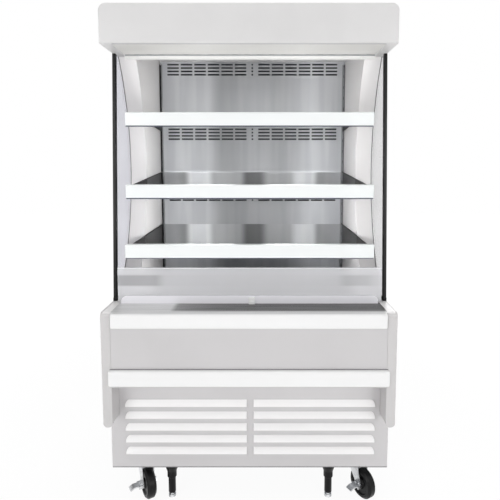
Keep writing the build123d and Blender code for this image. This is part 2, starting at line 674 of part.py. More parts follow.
def shelf_brackets(seat, depth, slope, name):
    """Pair of tapered arms. Each hooks into its standard and carries the pan on a flange."""
    pivot_z = seat.origin.Z
    tip = radians(slope)
    # the heel stands upright against the standard whatever the slope
    heel_y = -(MOVE_GAP + BRACKET_FOOT * sin(tip)) / cos(tip)
    with BuildPart() as brackets:
        for side in (-1, 1):
            with BuildSketch(seat_side(seat, side * BRACKET_IN)):
                with BuildLine():
                    Polyline(
                        (heel_y, -BRACKET_FOOT),
                        (-MOVE_GAP * 8, SHEET * 2),
                        (-depth + RAIL_LIP + MOVE_GAP, SHEET * 2),
                        (-depth + RAIL_LIP + MOVE_GAP, -BRACKET_TIP),
                        (-depth * 0.55, -BRACKET_TIP - 5),
                        close=True,
                    )
                make_face()
            extrude(amount=side * BRACKET_T)
            # flange under the pan
            with BuildSketch(seat_side(seat, side * BRACKET_OUT)):
                with Locations(((-depth + RAIL_LIP - PAN_REAR_GAP) / 2 - 6, -SHEET / 2)):
                    Rectangle(depth - RAIL_LIP - PAN_REAR_GAP - 14, SHEET)
            extrude(amount=-side * (BRACKET_T + BRACKET_FLANGE))
            # upper hook with its drop lip, and the plain lower tongue
            with BuildSketch(Plane.YZ.offset(side * BRACKET_IN)):
                with BuildLine():
                    Polyline(
                        (HOOK_Y - 14, pivot_z + 2),
                        (HOOK_Y - 2, pivot_z + 5),
                        (HOOK_Y + 5.5, pivot_z + 5),
                        (HOOK_Y + 5.5, pivot_z - 9),
                        (HOOK_Y + 3.6, pivot_z - 9),
                        (HOOK_Y + 3.6, pivot_z - 5),
                        (HOOK_Y - 14, pivot_z - 5),
                        close=True,
                    )
                make_face()
                with Locations((HOOK_Y - 4, pivot_z - HOOK_PITCH)):
                    Rectangle(14, 8)
            extrude(amount=side * BRACKET_T)
    keep(brackets.part, name)


def price_rail(seat, depth, name):
    """White ticket rail along the shelf's front: hollow behind, a shallow label channel in
    front and a lip that hooks over the pan."""
    top = SHEET + RAIL_WALL
    ridge = 3.0
    with BuildPart() as rail:
        with BuildSketch(seat_side(seat, -RAIL_HALF)):
            with BuildLine():
                Polyline(
                    (-depth + RAIL_LIP, top),
                    (-depth - RAIL_DEPTH + 1.5, top),
                    (-depth - RAIL_DEPTH, top - 1.5),
                    (-depth - RAIL_DEPTH, top - ridge),
                    (-depth - RAIL_DEPTH + 1, top - ridge - 1),
                    (-depth - RAIL_DEPTH + 1, top - RAIL_H + ridge + 1),
                    (-depth - RAIL_DEPTH, top - RAIL_H + ridge),
                    (-depth - RAIL_DEPTH, top - RAIL_H + 1.5),
                    (-depth - RAIL_DEPTH + 1.5, top - RAIL_H),
                    (-depth, top - RAIL_H),
                    (-depth, top - RAIL_H + RAIL_WALL),
                    (-depth - RAIL_DEPTH + 1 + RAIL_WALL, top - RAIL_H + RAIL_WALL),
                    (-depth - RAIL_DEPTH + 1 + RAIL_WALL, SHEET),
                    (-depth + RAIL_LIP, SHEET),
                    close=True,
                )
            make_face()
        extrude(amount=2 * RAIL_HALF)
        # moulded ends
        for side in (-1, 1):
            with BuildSketch(seat_side(seat, side * RAIL_HALF)):
                with Locations((-depth - RAIL_DEPTH / 2 + 0.75, top - RAIL_H / 2)):
                    Rectangle(RAIL_DEPTH - 1.5, RAIL_H - 2)
            extrude(amount=-side * RAIL_WALL)
        # ribs that bear on the pan's front flange
        for x in (-0.6 * PAN_HALF, 0, 0.6 * PAN_HALF):
            with BuildSketch(seat_side(seat, x - 1)):
                with Locations((-depth - RAIL_DEPTH / 2 + 1.25, top - RAIL_H / 2)):
                    Rectangle(RAIL_DEPTH - 2.5, RAIL_H - 2)
            extrude(amount=2)
    keep(rail.part, name)


def shelf(level, slot_number, depth, slope):
    seat = shelf_seat(slot_number, slope)
    shelf_pan(seat, depth, f"shelf_pan_{level}")
    shelf_brackets(seat, depth, slope, f"shelf_brackets_{level}")
    price_rail(seat, depth, f"price_rail_{level}")


# ======================= deck, grille, sill, guard =======================


def deck_pan():
    """Bottom deck that lifts at the front, with an upstand behind the return-air grille."""
    half = LINER_IN - MOVE_GAP
    rear_y = DUCT_Y - 1.5
    with BuildPart() as deck:
        block((-half, half), (DECK_FRONT_Y, rear_y), (DECK_Z - SHEET, DECK_Z))
        block((-half, half), (DECK_FRONT_Y, DECK_FRONT_Y + SHEET), (DECK_Z - SHEET, DECK_Z + DECK_UPSTAND))
    keep(deck.part, "deck_pan")


def return_grille():
    """Slotted plate that the air curtain returns through, folded down at the rear."""
    half = BODY_HALF - SEAT_GAP
    rear_y = DECK_FRONT_Y - GRILLE_GAP
    front_y = SILL_REAR_Y + SILL_SHEET + SEAT_GAP
    with BuildPart() as grille:
        block((-half, half), (front_y, rear_y), (SHOULDER_Z, SHOULDER_Z + SHEET))
        inner = LINER_IN - SEAT_GAP
        block((-inner, inner), (rear_y - SHEET, rear_y), (DECK_Z, SHOULDER_Z))
        with BuildSketch(Plane.XY.offset(SHOULDER_Z)):
            with Locations((0, (front_y + SILL_RETURN + rear_y) / 2)):
                with GridLocations(GRILLE_SLOT_PITCH, 1, GRILLE_SLOT_COUNT, 1):
                    Rectangle(GRILLE_SLOT_W, rear_y - front_y - SILL_RETURN - 14)
        extrude(amount=SHEET, mode=Mode.SUBTRACT)
        # the part of the plate that would meet the end walls' hollowed edges
        for side in (-1, 1):
            edge = sorted((side * inner, side * (HALF + 1)))
            block(edge, (EDGE_FOOT_Y - SEAT_GAP, rear_y + 1), (SHOULDER_Z - 1, SHOULDER_Z + 3), Mode.SUBTRACT)
    keep(grille.part, "return_grille")


def sill_cap():
    """Folded steel sill between the wings. Its rear fold drops down and turns back under the
    front of the return-air grille."""
    half = BODY_HALF
    with BuildPart() as sill:
        with BuildSketch(Plane.YZ.offset(-half)):
            with BuildLine():
                Polyline(
                    (FRONT_Y, SILL_Z),
                    (SILL_REAR_Y + SILL_SHEET, SILL_Z),
                    (SILL_REAR_Y + SILL_SHEET, SHOULDER_Z),
                    (SILL_REAR_Y + SILL_RETURN, SHOULDER_Z),
                    (SILL_REAR_Y + SILL_RETURN, SHOULDER_Z - SILL_SHEET),
                    (SILL_REAR_Y, SHOULDER_Z - SILL_SHEET),
                    (SILL_REAR_Y, SILL_FOOT_Z),
                    (FRONT_Y, SILL_FOOT_Z),
                    close=True,
                )
            make_face()
        extrude(amount=2 * half)
        # notches around the liner's shoulders
        for side in (-1, 1):
            edge = sorted((side * (LINER_IN - SEAT_GAP), side * HALF))
            block(
                edge,
                (SILL_REAR_Y - 1, SILL_REAR_Y + SILL_RETURN + 1),
                (SHOULDER_Z - SILL_SHEET - 1, SHOULDER_Z + SEAT_GAP),
                Mode.SUBTRACT,
            )
    keep(sill.part, "sill_cap")


def guard_rail():
    """Extrusion on the sill, round-cornered from the front, with a groove for the guard."""
    with BuildPart() as rail:
        with BuildSketch(Plane.XZ.offset(-GUARD_Y + GUARD_RAIL_DEPTH / 2)):
            with Locations((0, SILL_Z + GUARD_RAIL_H / 2)):
                face = Rectangle(2 * GUARD_RAIL_HALF, GUARD_RAIL_H)
            fillet(face.vertices().group_by(Axis.Y)[-1], radius=GUARD_RAIL_ROUND)
        extrude(amount=-GUARD_RAIL_DEPTH)
        groove = GUARD_T / 2 + SEAT_GAP
        block(
            (-HALF, HALF),
            (GUARD_Y - groove, GUARD_Y + groove),
            (SILL_Z + GUARD_RAIL_FLOOR, SILL_Z + GUARD_RAIL_H + 1),
            Mode.SUBTRACT,
        )
        # the overhang behind the sill is cut back to a foot
        block(
            (-HALF, HALF),
            (SILL_REAR_Y + SILL_SHEET, GUARD_Y + GUARD_RAIL_DEPTH),
            (SILL_Z - 1, SILL_Z + 2),
            Mode.SUBTRACT,
        )
    keep(rail.part, "guard_rail")


def front_guard():
    """Clear guard that keeps goods on the deck."""
    foot_z = SILL_Z + GUARD_RAIL_FLOOR
    with BuildPart() as guard:
        with BuildSketch(Plane.XZ.offset(-GUARD_Y + GUARD_T / 2)):
            with Locations((0, (foot_z + GUARD_TOP_Z) / 2)):
                face = Rectangle(2 * GUARD_HALF, GUARD_TOP_Z - foot_z)
            fillet(face.vertices().group_by(Axis.Y)[-1], radius=8)
        extrude(amount=-GUARD_T)
    keep(guard.part, "front_guard")


def guard_catch():
    """Small white clip at the middle of the guard rail."""
    face_y = GUARD_Y - GUARD_RAIL_DEPTH / 2
    x = (CATCH_X - CATCH_W / 2, CATCH_X + CATCH_W / 2)
    with BuildPart() as catch:
        block(x, (face_y - CATCH_DEPTH, face_y), (SILL_Z, SILL_Z + CATCH_H))
        fillet(catch.edges().filter_by(Axis.Y), radius=3)
        slot_z = SILL_Z + CATCH_H * 0.55
        block(
            (x[0] + 5, x[1] - 5),
            (face_y - CATCH_DEPTH, face_y - CATCH_DEPTH / 2),
            (slot_z - 2, slot_z + 2),
            Mode.SUBTRACT,
        )
        block(
            (x[0] + 3, x[1] - 3),
            (face_y - CATCH_DEPTH - 3, face_y - CATCH_DEPTH),
            (slot_z - 7, slot_z - 4),
        )
    keep(catch.part, "guard_catch")


# ======================= base front =======================


def front_panel():
    """Painted front between the wings, folded back at its foot to the louvred panel."""
    with BuildPart() as panel:
        block((-BODY_HALF, BODY_HALF), (FRONT_Y, TUB_FRONT_Y), (PANEL_FOLD_Z, SILL_FOOT_Z))
        block(
            (-BODY_HALF, BODY_HALF),
            (FRONT_Y, KICK_Y + PANEL_SHEET),
            (PANEL_FOLD_Z, TUB_FLOOR_Z),
        )
    keep(panel.part, "front_panel")


def bumper(half, foot_z, height, name):
    """Rounded plastic buffer along the base front."""
    with BuildPart() as buffer:
        with BuildSketch(Plane.YZ.offset(-half)):
            with Locations((FRONT_Y - BUMPER_PROUD / 2, foot_z + height / 2)):
                profile = Rectangle(BUMPER_PROUD, height)
            fillet(profile.vertices().group_by(Axis.X)[0], radius=BUMPER_ROUND)
        extrude(amount=2 * half)
        chamfer(buffer.faces().filter_by(Axis.X).edges().filter_by(Axis.Z), length=BUMPER_END)
    keep(buffer.part, name)


def louvre_panel():
    """Pressed panel under the base: two columns of hooded louvres, open at their lower lip."""
    sheet_back = KICK_Y + PANEL_SHEET
    wing_z = WING_BOTTOM_Z - SEAT_GAP
    lips = [LOUVRE_FIRST_Z + row * LOUVRE_PITCH for row in range(LOUVRE_ROWS)]
    with BuildPart() as panel:
        block((-HALF, HALF), (KICK_Y, sheet_back), (GROUND_GAP, wing_z))
        block((-BODY_HALF, BODY_HALF), (KICK_Y, sheet_back), (wing_z, PANEL_FOLD_Z))
        for column_x in LOUVRE_COLUMNS:
            outward = 1 if column_x > 0 else -1
            hood = louvre_form(outward, 0)
            hollow = louvre_form(outward, LOUVRE_SKIN)
            with Locations(*[(column_x, 0, lip_z) for lip_z in lips]):
                add(hood)
                add(hollow, mode=Mode.SUBTRACT)
    keep(panel.part, "louvre_panel")


def louvre_form(outward, skin):
    """Outer form of one pressed hood over the middle of its lower lip, or with skin its
    hollow, which also cuts the sheet behind and the mouth below. The hood leans out from its
    head to the lip, and the upper corner on the panel's outer side is rounded."""
    half = LOUVRE_L / 2 - skin
    head_z = LOUVRE_H - skin
    proud_y = KICK_Y - LOUVRE_PROUD + skin
    back_y = KICK_Y + PANEL_SHEET + skin
    foot_z = -skin
    lip_z = 2.0
    with BuildPart(mode=Mode.PRIVATE) as form:
        with BuildSketch(Plane.YZ.offset(-half)):
            with BuildLine():
                Polyline(
                    (KICK_Y, head_z),
                    (back_y, head_z),
                    (back_y, foot_z),
                    (proud_y, foot_z),
                    (proud_y, lip_z),
                )
                ThreePointArc(
                    (proud_y, lip_z),
                    (KICK_Y - 0.62 * (LOUVRE_PROUD - skin), 0.6 * head_z),
                    (KICK_Y, head_z),
                )
            make_face()
        extrude(amount=2 * half)
        with BuildSketch(Plane.XZ.offset(-back_y - 1)):
            with Locations((0, (foot_z + head_z) / 2)):
                face = Rectangle(2 * half, head_z - foot_z)
            corners = face.vertices().group_by(Axis.Y)[-1].sort_by(Axis.X)
            fillet(corners[-1 if outward > 0 else 0], radius=LOUVRE_END_ROUND)
        extrude(amount=back_y - proud_y + 2, mode=Mode.INTERSECT)
    return form.part


# ======================= machine compartment =======================


def chassis_tray():
    """Folded steel tray that carries the machinery and takes the casters."""
    front_y = KICK_Y + PANEL_SHEET
    rear_y = REAR_Y - PANEL_SHEET
    with BuildPart() as tray:
        block((-BODY_HALF, BODY_HALF), (front_y, rear_y), (GROUND_GAP, TRAY_TOP_Z))
        for edge_y in (front_y, rear_y - TRAY_SHEET):
            block(
                (-BODY_HALF, BODY_HALF), (edge_y, edge_y + TRAY_SHEET), (GROUND_GAP, TRAY_TOP_Z + TRAY_FLANGE)
            )
    keep(tray.part, "chassis_tray")


def rear_grille():
    """Vented cover at the back of the machine compartment."""
    middle_z = (TRAY_TOP_Z + TUB_FLOOR_Z) / 2
    with BuildPart() as grille:
        block((-BODY_HALF, BODY_HALF), (REAR_Y - PANEL_SHEET, REAR_Y), (GROUND_GAP, TUB_FLOOR_Z))
        with BuildSketch(Plane.XZ.offset(-REAR_Y)):
            with Locations((0, middle_z)):
                with GridLocations(VENT_PITCH, VENT_SLOT_H + 20, VENT_COUNT, 2):
                    Rectangle(VENT_SLOT_W, VENT_SLOT_H)
        extrude(amount=PANEL_SHEET, mode=Mode.SUBTRACT)
    keep(grille.part, "rear_grille")


def compressor():
    """Hermetic compressor: a domed pot with a terminal box, on a foot plate with grommets."""
    x, y = COMPRESSOR_AT
    plate_z = TRAY_TOP_Z + COMPRESSOR_GROMMET
    pot_z = plate_z + COMPRESSOR_PLATE_T
    terminal_y = y - COMPRESSOR_R
    with BuildPart() as pot:
        with BuildSketch(Plane.XY.offset(pot_z)):
            with Locations((x, y)):
                Circle(COMPRESSOR_R)
        extrude(amount=COMPRESSOR_H)
        fillet(pot.edges().group_by(Axis.Z)[-1], radius=COMPRESSOR_DOME)
        with BuildSketch(Plane.XY.offset(plate_z)):
            with Locations((x, y)):
                Rectangle(*COMPRESSOR_PLATE)
        extrude(amount=COMPRESSOR_PLATE_T)
        with BuildSketch(Plane.XY.offset(TRAY_TOP_Z)):
            with Locations((x, y)):
                with GridLocations(
                    COMPRESSOR_PLATE[0] - 2 * GROMMET_INSET, COMPRESSOR_PLATE[1] - 2 * GROMMET_INSET, 2, 2
                ):
                    RegularPolygon(GROMMET_R, 8)
        extrude(amount=COMPRESSOR_GROMMET)
        block(
            (x - TERMINAL_W / 2, x + TERMINAL_W / 2),
            (terminal_y - TERMINAL_OUT, terminal_y + TERMINAL_IN),
            (pot_z + TERMINAL_UP, pot_z + TERMINAL_UP + TERMINAL_H),
        )
    keep(pot.part, "compressor")


def finned_coil(x, y, z, fins, rows, name):
    """Plate fins pressed on a core between two end plates, with the tubes' return bends."""
    length = x[1] - x[0]
    depth = y[1] - y[0]
    height = z[1] - z[0]
    fin_h = height - 2 * FIN_INSET
    columns = (y[0] + depth * 0.28, y[0] + depth * 0.72)
    row_heights = [z[0] + (row + 0.5) * height / rows for row in range(rows)]
    with BuildPart() as coil:
        with Locations((sum(x) / 2, sum(y) / 2, sum(z) / 2)):
            with GridLocations(length - END_PLATE_T, 1, 2, 1):
                Box(END_PLATE_T, depth, height)
            with GridLocations(length / (fins + 1), 1, fins, 1):
                Box(FIN_T, depth, fin_h)
            Box(length - END_PLATE_T, depth - 2 * FIN_REACH, fin_h - 2 * FIN_REACH)
        for end_x, outward in ((x[0], -1), (x[1], 1)):
            bend_x = end_x + outward * BEND_OUT
            for tube_z in row_heights:
                start = (end_x, columns[0], tube_z)
                with BuildLine():
                    bend = Polyline(
                        start,
                        (bend_x, columns[0], tube_z),
                        (bend_x, columns[1], tube_z),
                        (end_x, columns[1], tube_z),
                    )
                with BuildSketch(Plane(origin=start, x_dir=(0, 1, 0), z_dir=(outward, 0, 0))):
                    RegularPolygon(TUBE_R, 6)
                sweep(path=bend, transition=Transition.RIGHT)
    keep(coil.part, name)


def fan_blades(radius, hub_r, width, centre, bore_r, name):
    """Axial fan about a Y axis: a bored hub and blades that twist from root to tip."""
    middle = Vector(centre)
    face = Plane(origin=middle - Vector(0, width / 2, 0), x_dir=(1, 0, 0), z_dir=(0, 1, 0))
    axial = Vector(0, 1, 0)
    sections = ((0.8 * hub_r, 48.0), (radius + 4, 24.0))
    with BuildPart() as fan:
        for blade in range(FAN_BLADES):
            turn = 2 * pi * blade / FAN_BLADES
            out = Vector(cos(turn), 0, sin(turn))
            across = Vector(-sin(turn), 0, cos(turn))
            for section_r, pitch in sections:
                lean = radians(pitch)
                along = across * cos(lean) + axial * sin(lean)
                with BuildSketch(Plane(origin=middle + out * section_r, x_dir=along, z_dir=out)):
                    Rectangle(0.9 * width / sin(lean), 2)
            loft()
        with BuildSketch(face.offset(-width)):
            Circle(radius)
        extrude(amount=3 * width, mode=Mode.INTERSECT)
        with BuildSketch(face):
            Circle(hub_r)
        extrude(amount=width)
        with BuildSketch(face):
            Circle(bore_r)
        extrude(amount=width, mode=Mode.SUBTRACT)
    keep(fan.part, name)


def condenser_shroud():
    """Plate and ring behind the condenser, with the fan motor on three arms."""
    plate_y = CONDENSER_Y + CONDENSER_DEPTH
    hub = Plane(origin=(sum(CONDENSER_X) / 2, plate_y, CONDENSER_MIDDLE_Z), x_dir=(1, 0, 0), z_dir=(0, 1, 0))
    ring_r = CONDENSER_FAN_R + FAN_TIP_GAP
    wall = 3.0
    with BuildPart() as shroud:
        block(CONDENSER_X, (plate_y, plate_y + SHEET), (TRAY_TOP_Z, TRAY_TOP_Z + CONDENSER_H))
        with BuildSketch(hub):
            Circle(ring_r + wall)
        extrude(amount=SHROUD_DEPTH)
        with BuildSketch(hub):
            Circle(ring_r)
        extrude(amount=SHROUD_DEPTH, mode=Mode.SUBTRACT)
        with BuildSketch(hub.offset(SHROUD_DEPTH)):
            with PolarLocations((ring_r + wall) / 2, 3, start_angle=90):
                Rectangle(ring_r + wall, 14)
            Circle(CONDENSER_MOTOR_R)
        extrude(amount=4)
        with BuildSketch(hub.offset(SHROUD_DEPTH)):
            Circle(CONDENSER_MOTOR_R)
        extrude(amount=CONDENSER_MOTOR_L)
        with BuildSketch(hub.offset(4)):
            Circle(CONDENSER_SHAFT_R)
        extrude(amount=SHROUD_DEPTH)
    keep(shroud.part, "condenser_shroud")


def drain_pan():
    """Open tray that catches melt water."""
    z = (TRAY_TOP_Z, TRAY_TOP_Z + DRAIN_PAN_H)
    with BuildPart() as pan:
        block(DRAIN_PAN_X, DRAIN_PAN_Y, z)
        block(
            (DRAIN_PAN_X[0] + 2, DRAIN_PAN_X[1] - 2),
            (DRAIN_PAN_Y[0] + 2, DRAIN_PAN_Y[1] - 2),
            (z[0] + 2, z[1] + 1),
            Mode.SUBTRACT,
        )
    keep(pan.part, "drain_pan")


def control_box():
    """Electrical box of the machine compartment, closed by a folded lid."""
    with BuildPart() as case:
        block(CONTROL_X, CONTROL_Y, (TRAY_TOP_Z, TRAY_TOP_Z + CONTROL_H))
        chamfer(case.edges().filter_by(Axis.Z), length=CONTROL_CORNER)
        # folded lid with its edge standing proud
        block(
            (CONTROL_X[0] - CONTROL_LID, CONTROL_X[1] + CONTROL_LID),
            (CONTROL_Y[0] - CONTROL_LID, CONTROL_Y[1] + CONTROL_LID),
            (TRAY_TOP_Z + CONTROL_H - CONTROL_LID_H, TRAY_TOP_Z + CONTROL_H + CONTROL_LID),
        )
    keep(case.part, "control_box")


def evap_fan_plate():
    """Upright plate in the well with two fan rings, each with its motor on two arms."""
    half = LINER_IN - SEAT_GAP
    ring_r = EVAP_FAN_R + FAN_TIP_GAP
    wall = 2.0
    with BuildPart() as plate:
        block((-half, half), (FAN_PLATE_Y, FAN_PLATE_Y + SHEET), (TUB_DECK_Z, DECK_Z - SHEET))
        for side in (-1, 1):
            hub = Plane(origin=(side * EVAP_FAN_X, FAN_PLATE_Y, EVAP_FAN_Z), x_dir=(1, 0, 0), z_dir=(0, 1, 0))
            with BuildSketch(hub):
                Circle(ring_r + wall)
            extrude(amount=EVAP_RING_DEPTH)
            with BuildSketch(hub):
                Circle(ring_r)
            extrude(amount=EVAP_RING_DEPTH, mode=Mode.SUBTRACT)
            with BuildSketch(hub.offset(EVAP_RING_DEPTH)):
                Rectangle(2 * (ring_r + wall), 12)
                Circle(EVAP_MOTOR_R)
            extrude(amount=3)
            with BuildSketch(hub.offset(EVAP_RING_DEPTH)):
                Circle(EVAP_MOTOR_R)
            extrude(amount=EVAP_MOTOR_L)
            with BuildSketch(hub.offset(2)):
                Circle(EVAP_SHAFT_R)
            extrude(amount=EVAP_RING_DEPTH)
    keep(plate.part, "evap_fan_plate")


# ======================= casters and legs =======================


def caster_frame(x, y):
    """Upright plane at a caster's kingpin on the floor, turned with the caster."""
    turn = radians(CASTER_TURN)
    return Plane(origin=(x, y, 0), x_dir=(cos(turn), sin(turn), 0), z_dir=(0, 0, 1))


def caster_plates():
    """Top plates with their kingpins, screwed under the chassis."""
    with BuildPart() as plates:
        for x in (-CASTER_X, CASTER_X):
            for y in (CASTER_FRONT_Y, CASTER_REAR_Y):
                with BuildSketch(Plane.XY.offset(GROUND_GAP - PLATE_T)):
                    with Locations((x, y)):
                        plate = Rectangle(PLATE_W, PLATE_L)
                        chamfer(plate.vertices(), length=PLATE_CORNER)
                        hole_x = PLATE_W - 2 * PLATE_HOLE_INSET
                        with GridLocations(hole_x, PLATE_L - 2 * PLATE_HOLE_INSET, 2, 2):
                            Rectangle(*PLATE_HOLE, mode=Mode.SUBTRACT)
                extrude(amount=PLATE_T)
                with Locations((x, y, GROUND_GAP - PLATE_T - (RACE_H + CROWN_T) / 2)):
                    Cylinder(KINGPIN_R, RACE_H + CROWN_T)
    keep(plates.part, "caster_plates")


def caster_fork(x, y, braked, name):
    """Swivel head, two cheeks and the axle. A braked fork has lugs for the lever's pin."""
    frame = caster_frame(x, y)
    head_z = GROUND_GAP - PLATE_T - SEAT_GAP
    crown_z = head_z - RACE_H
    cheek_in = WHEEL_W / 2 + CHEEK_GAP
    with BuildPart(frame) as fork:
        with BuildSketch(frame.offset(crown_z)):
            Circle(RACE_R)
        extrude(amount=RACE_H)
        chamfer(fork.edges().group_by(Axis.Z)[-1], length=RACE_CHAMFER)
        with BuildSketch(frame.offset(crown_z - CROWN_T)):
            with Locations((0, -CROWN_BACK)):
                Rectangle(2 * (cheek_in + CHEEK_T), CROWN_L)
        extrude(amount=CROWN_T)
        for side in (-1, 1):
            cheek = Plane(
                origin=frame.from_local_coords(Vector(side * cheek_in, 0, 0)),
                x_dir=frame.y_dir,
                z_dir=frame.x_dir,
            )
            with BuildSketch(cheek):
                with BuildLine():
                    Polyline(
                        (17, crown_z),
                        (-31, crown_z),
                        (-TRAIL - 13, WHEEL_R + 2),
                    )
                    ThreePointArc(
                        (-TRAIL - 13, WHEEL_R + 2), (-TRAIL, WHEEL_R - 13), (-TRAIL + 13, WHEEL_R + 2)
                    )
                    Line((-TRAIL + 13, WHEEL_R + 2), (17, crown_z))
                make_face()
            extrude(amount=side * CHEEK_T)
        axle = Plane(
            origin=frame.from_local_coords(Vector(0, -TRAIL, WHEEL_R)), x_dir=frame.y_dir, z_dir=frame.x_dir
        )
        with BuildSketch(axle.offset(-cheek_in - CHEEK_T - 3)):
            Circle(AXLE_R)
        extrude(amount=2 * (cheek_in + CHEEK_T) + 6)
        with BuildSketch(axle.offset(cheek_in + CHEEK_T)):
            RegularPolygon(10, 6)
        extrude(amount=6)
        if braked:
            for lug_y in (-LEVER_W / 2 - 4, LEVER_W / 2 + SEAT_GAP):
                block(
                    (-cheek_in - CHEEK_T - LEVER_PIN_OUT - 5, -cheek_in),
                    (-TRAIL + lug_y, -TRAIL + lug_y + 4 - SEAT_GAP),
                    (WHEEL_R - 5, WHEEL_R + 5),
                )
            lug_arm = LEVER_W / 2 + 4
            pin = Plane(
                origin=frame.from_local_coords(
                    Vector(-cheek_in - CHEEK_T - LEVER_PIN_OUT, -TRAIL - lug_arm, WHEEL_R)
                ),
                x_dir=frame.x_dir,
                z_dir=frame.y_dir,
            )
            with BuildSketch(pin):
                Circle(LEVER_PIN_R)
            extrude(amount=2 * lug_arm)
        with BuildSketch(frame.offset(crown_z - CROWN_T)):
            Circle(KINGPIN_R + AXLE_GAP)
        extrude(amount=CROWN_T + RACE_H, mode=Mode.SUBTRACT)
    keep(fork.part, name)


def caster_wheel(x, y, name):
    """Moulded wheel with a crowned tread, recessed webs and a hub that runs on the axle."""
    frame = caster_frame(x, y)
    centre = frame.from_local_coords(Vector(0, -TRAIL, WHEEL_R))
    section = Plane(origin=centre, x_dir=frame.x_dir, z_dir=frame.y_dir * -1)
    half = WHEEL_W / 2
    hub_end = half + WHEEL_HUB_OUT
    bore_r = AXLE_R + AXLE_GAP
    with BuildPart() as wheel:
        with BuildSketch(section):
            with BuildLine():
                Polyline((-hub_end, bore_r), (hub_end, bore_r))
                for side in (-1, 1):
                    Polyline(
                        (side * hub_end, bore_r),
                        (side * hub_end, WHEEL_HUB_R),
                        (side * (half - WHEEL_DISH), WHEEL_HUB_R + 3),
                        (side * (half - WHEEL_DISH), WHEEL_RIM_R - 3),
                        (side * half, WHEEL_RIM_R),
                        (side * half, WHEEL_R - TREAD_ROUND),
                        (side * (half - TREAD_ROUND), WHEEL_R),
                    )
                Line((-half + TREAD_ROUND, WHEEL_R), (half - TREAD_ROUND, WHEEL_R))
            make_face()
        revolve(axis=Axis(centre, frame.x_dir))
    keep(wheel.part, name)


def brake_lever(x, y, name):
    """Side-lock lever: an eye on the fork's pin and a tread that curves out and down."""
    frame = caster_frame(x, y)
    pin_x = -(WHEEL_W / 2 + CHEEK_GAP + CHEEK_T + LEVER_PIN_OUT)
    section = Plane(
        origin=frame.from_local_coords(Vector(pin_x, -TRAIL - LEVER_W / 2, WHEEL_R)),
        x_dir=frame.x_dir,
        z_dir=frame.y_dir * -1,
    )
    eye_r = LEVER_PIN_R + 2.5
    with BuildPart() as lever:
        with BuildSketch(section):
            Circle(eye_r)
            with BuildLine():
                Polyline(
                    (0, eye_r),
                    (-LEVER_L * 0.6, eye_r),
                    (-LEVER_L, -1),
                    (-LEVER_L + 2, -1 - LEVER_T),
                    (-LEVER_L * 0.55, eye_r - LEVER_T),
                    (0, eye_r - LEVER_T),
                    close=True,
                )
            make_face()
            Circle(LEVER_PIN_R + AXLE_GAP, mode=Mode.SUBTRACT)
        extrude(amount=-LEVER_W)
    keep(lever.part, name)


def leg_sleeves():
    """Flanged black sleeves of the two levelling legs."""
    foot_top = FOOT_LIFT + FOOT_H
    sleeve_foot = foot_top + FOOT_TRAVEL + 1
    with BuildPart() as sleeves:
        for x in (-LEG_X, LEG_X):
            section = Plane(origin=(x, LEG_Y, 0), x_dir=(1, 0, 0), z_dir=(0, -1, 0))
            with BuildSketch(section):
                with BuildLine():
                    Polyline(
                        (LEG_BORE_R, sleeve_foot),
                        (LEG_R, sleeve_foot),
                        (LEG_R, LEG_COLLAR_Z - LEG_COLLAR_OUT),
                        (LEG_R + LEG_COLLAR_OUT, LEG_COLLAR_Z),
                        (LEG_R + LEG_COLLAR_OUT, LEG_COLLAR_Z + LEG_COLLAR_H),
                        (LEG_FLANGE_R - 2, LEG_FLARE_Z),
                        (LEG_FLANGE_R, GROUND_GAP - LEG_FLANGE_T),
                        (LEG_FLANGE_R, GROUND_GAP),
                        (LEG_BORE_R, GROUND_GAP),
                        close=True,
                    )
                make_face()
            revolve(axis=Axis((x, LEG_Y, 0), (0, 0, 1)))
    keep(sleeves.part, "leg_sleeves")


def leg_foot(x, name):
    """Chrome foot on its threaded stem."""
    with BuildPart() as foot:
        with BuildSketch(Plane(origin=(x, LEG_Y, 0), x_dir=(1, 0, 0), z_dir=(0, -1, 0))):
            with BuildLine():
                Polyline(
                    (0, FOOT_LIFT),
                    (FOOT_R - 1.5, FOOT_LIFT),
                    (FOOT_R, FOOT_LIFT + 1.5),
                    (FOOT_R, FOOT_LIFT + FOOT_H - 2),
                    (FOOT_R - 2, FOOT_LIFT + FOOT_H),
                    (FOOT_STEM_R, FOOT_LIFT + FOOT_H),
                    (FOOT_STEM_R, FOOT_LIFT + FOOT_H + FOOT_STEM_L),
                    (0, FOOT_LIFT + FOOT_H + FOOT_STEM_L),
                    close=True,
                )
            make_face()
        revolve(axis=Axis((x, LEG_Y, 0), (0, 0, 1)))
    keep(foot.part, name)


# ======================= the whole fridge =======================

for wall_side, hand in ((-1, "left"), (1, "right")):
    end_wall(wall_side, f"end_wall_{hand}")
    side_pane(wall_side, f"side_pane_{hand}")
pane_trims()
rear_wall()
base_tub()
roof_panel()
canopy_shell()
canopy_soffit()
air_honeycomb()
ceiling_liner()
lamp_diffuser()
back_duct_panel()
shelf_standards()
for shelf_level, (hook_slot, shelf_depth, shelf_slope) in SHELVES.items():
    shelf(shelf_level, hook_slot, shelf_depth, shelf_slope)
deck_pan()
return_grille()
sill_cap()
guard_rail()
front_guard()
guard_catch()
front_panel()
bumper(UPPER_BUMPER_HALF, SILL_Z - UPPER_BUMPER_H, UPPER_BUMPER_H, "bumper_upper")
bumper(LOWER_BUMPER_HALF, LOWER_BUMPER_FOOT_Z, LOWER_BUMPER_H, "bumper_lower")
louvre_panel()
chassis_tray()
rear_grille()
compressor()
finned_coil(
    CONDENSER_X,
    (CONDENSER_Y, CONDENSER_Y + CONDENSER_DEPTH),
    (TRAY_TOP_Z, TRAY_TOP_Z + CONDENSER_H),
    CONDENSER_FINS,
    CONDENSER_ROWS,
    "condenser_coil",
)
condenser_shroud()
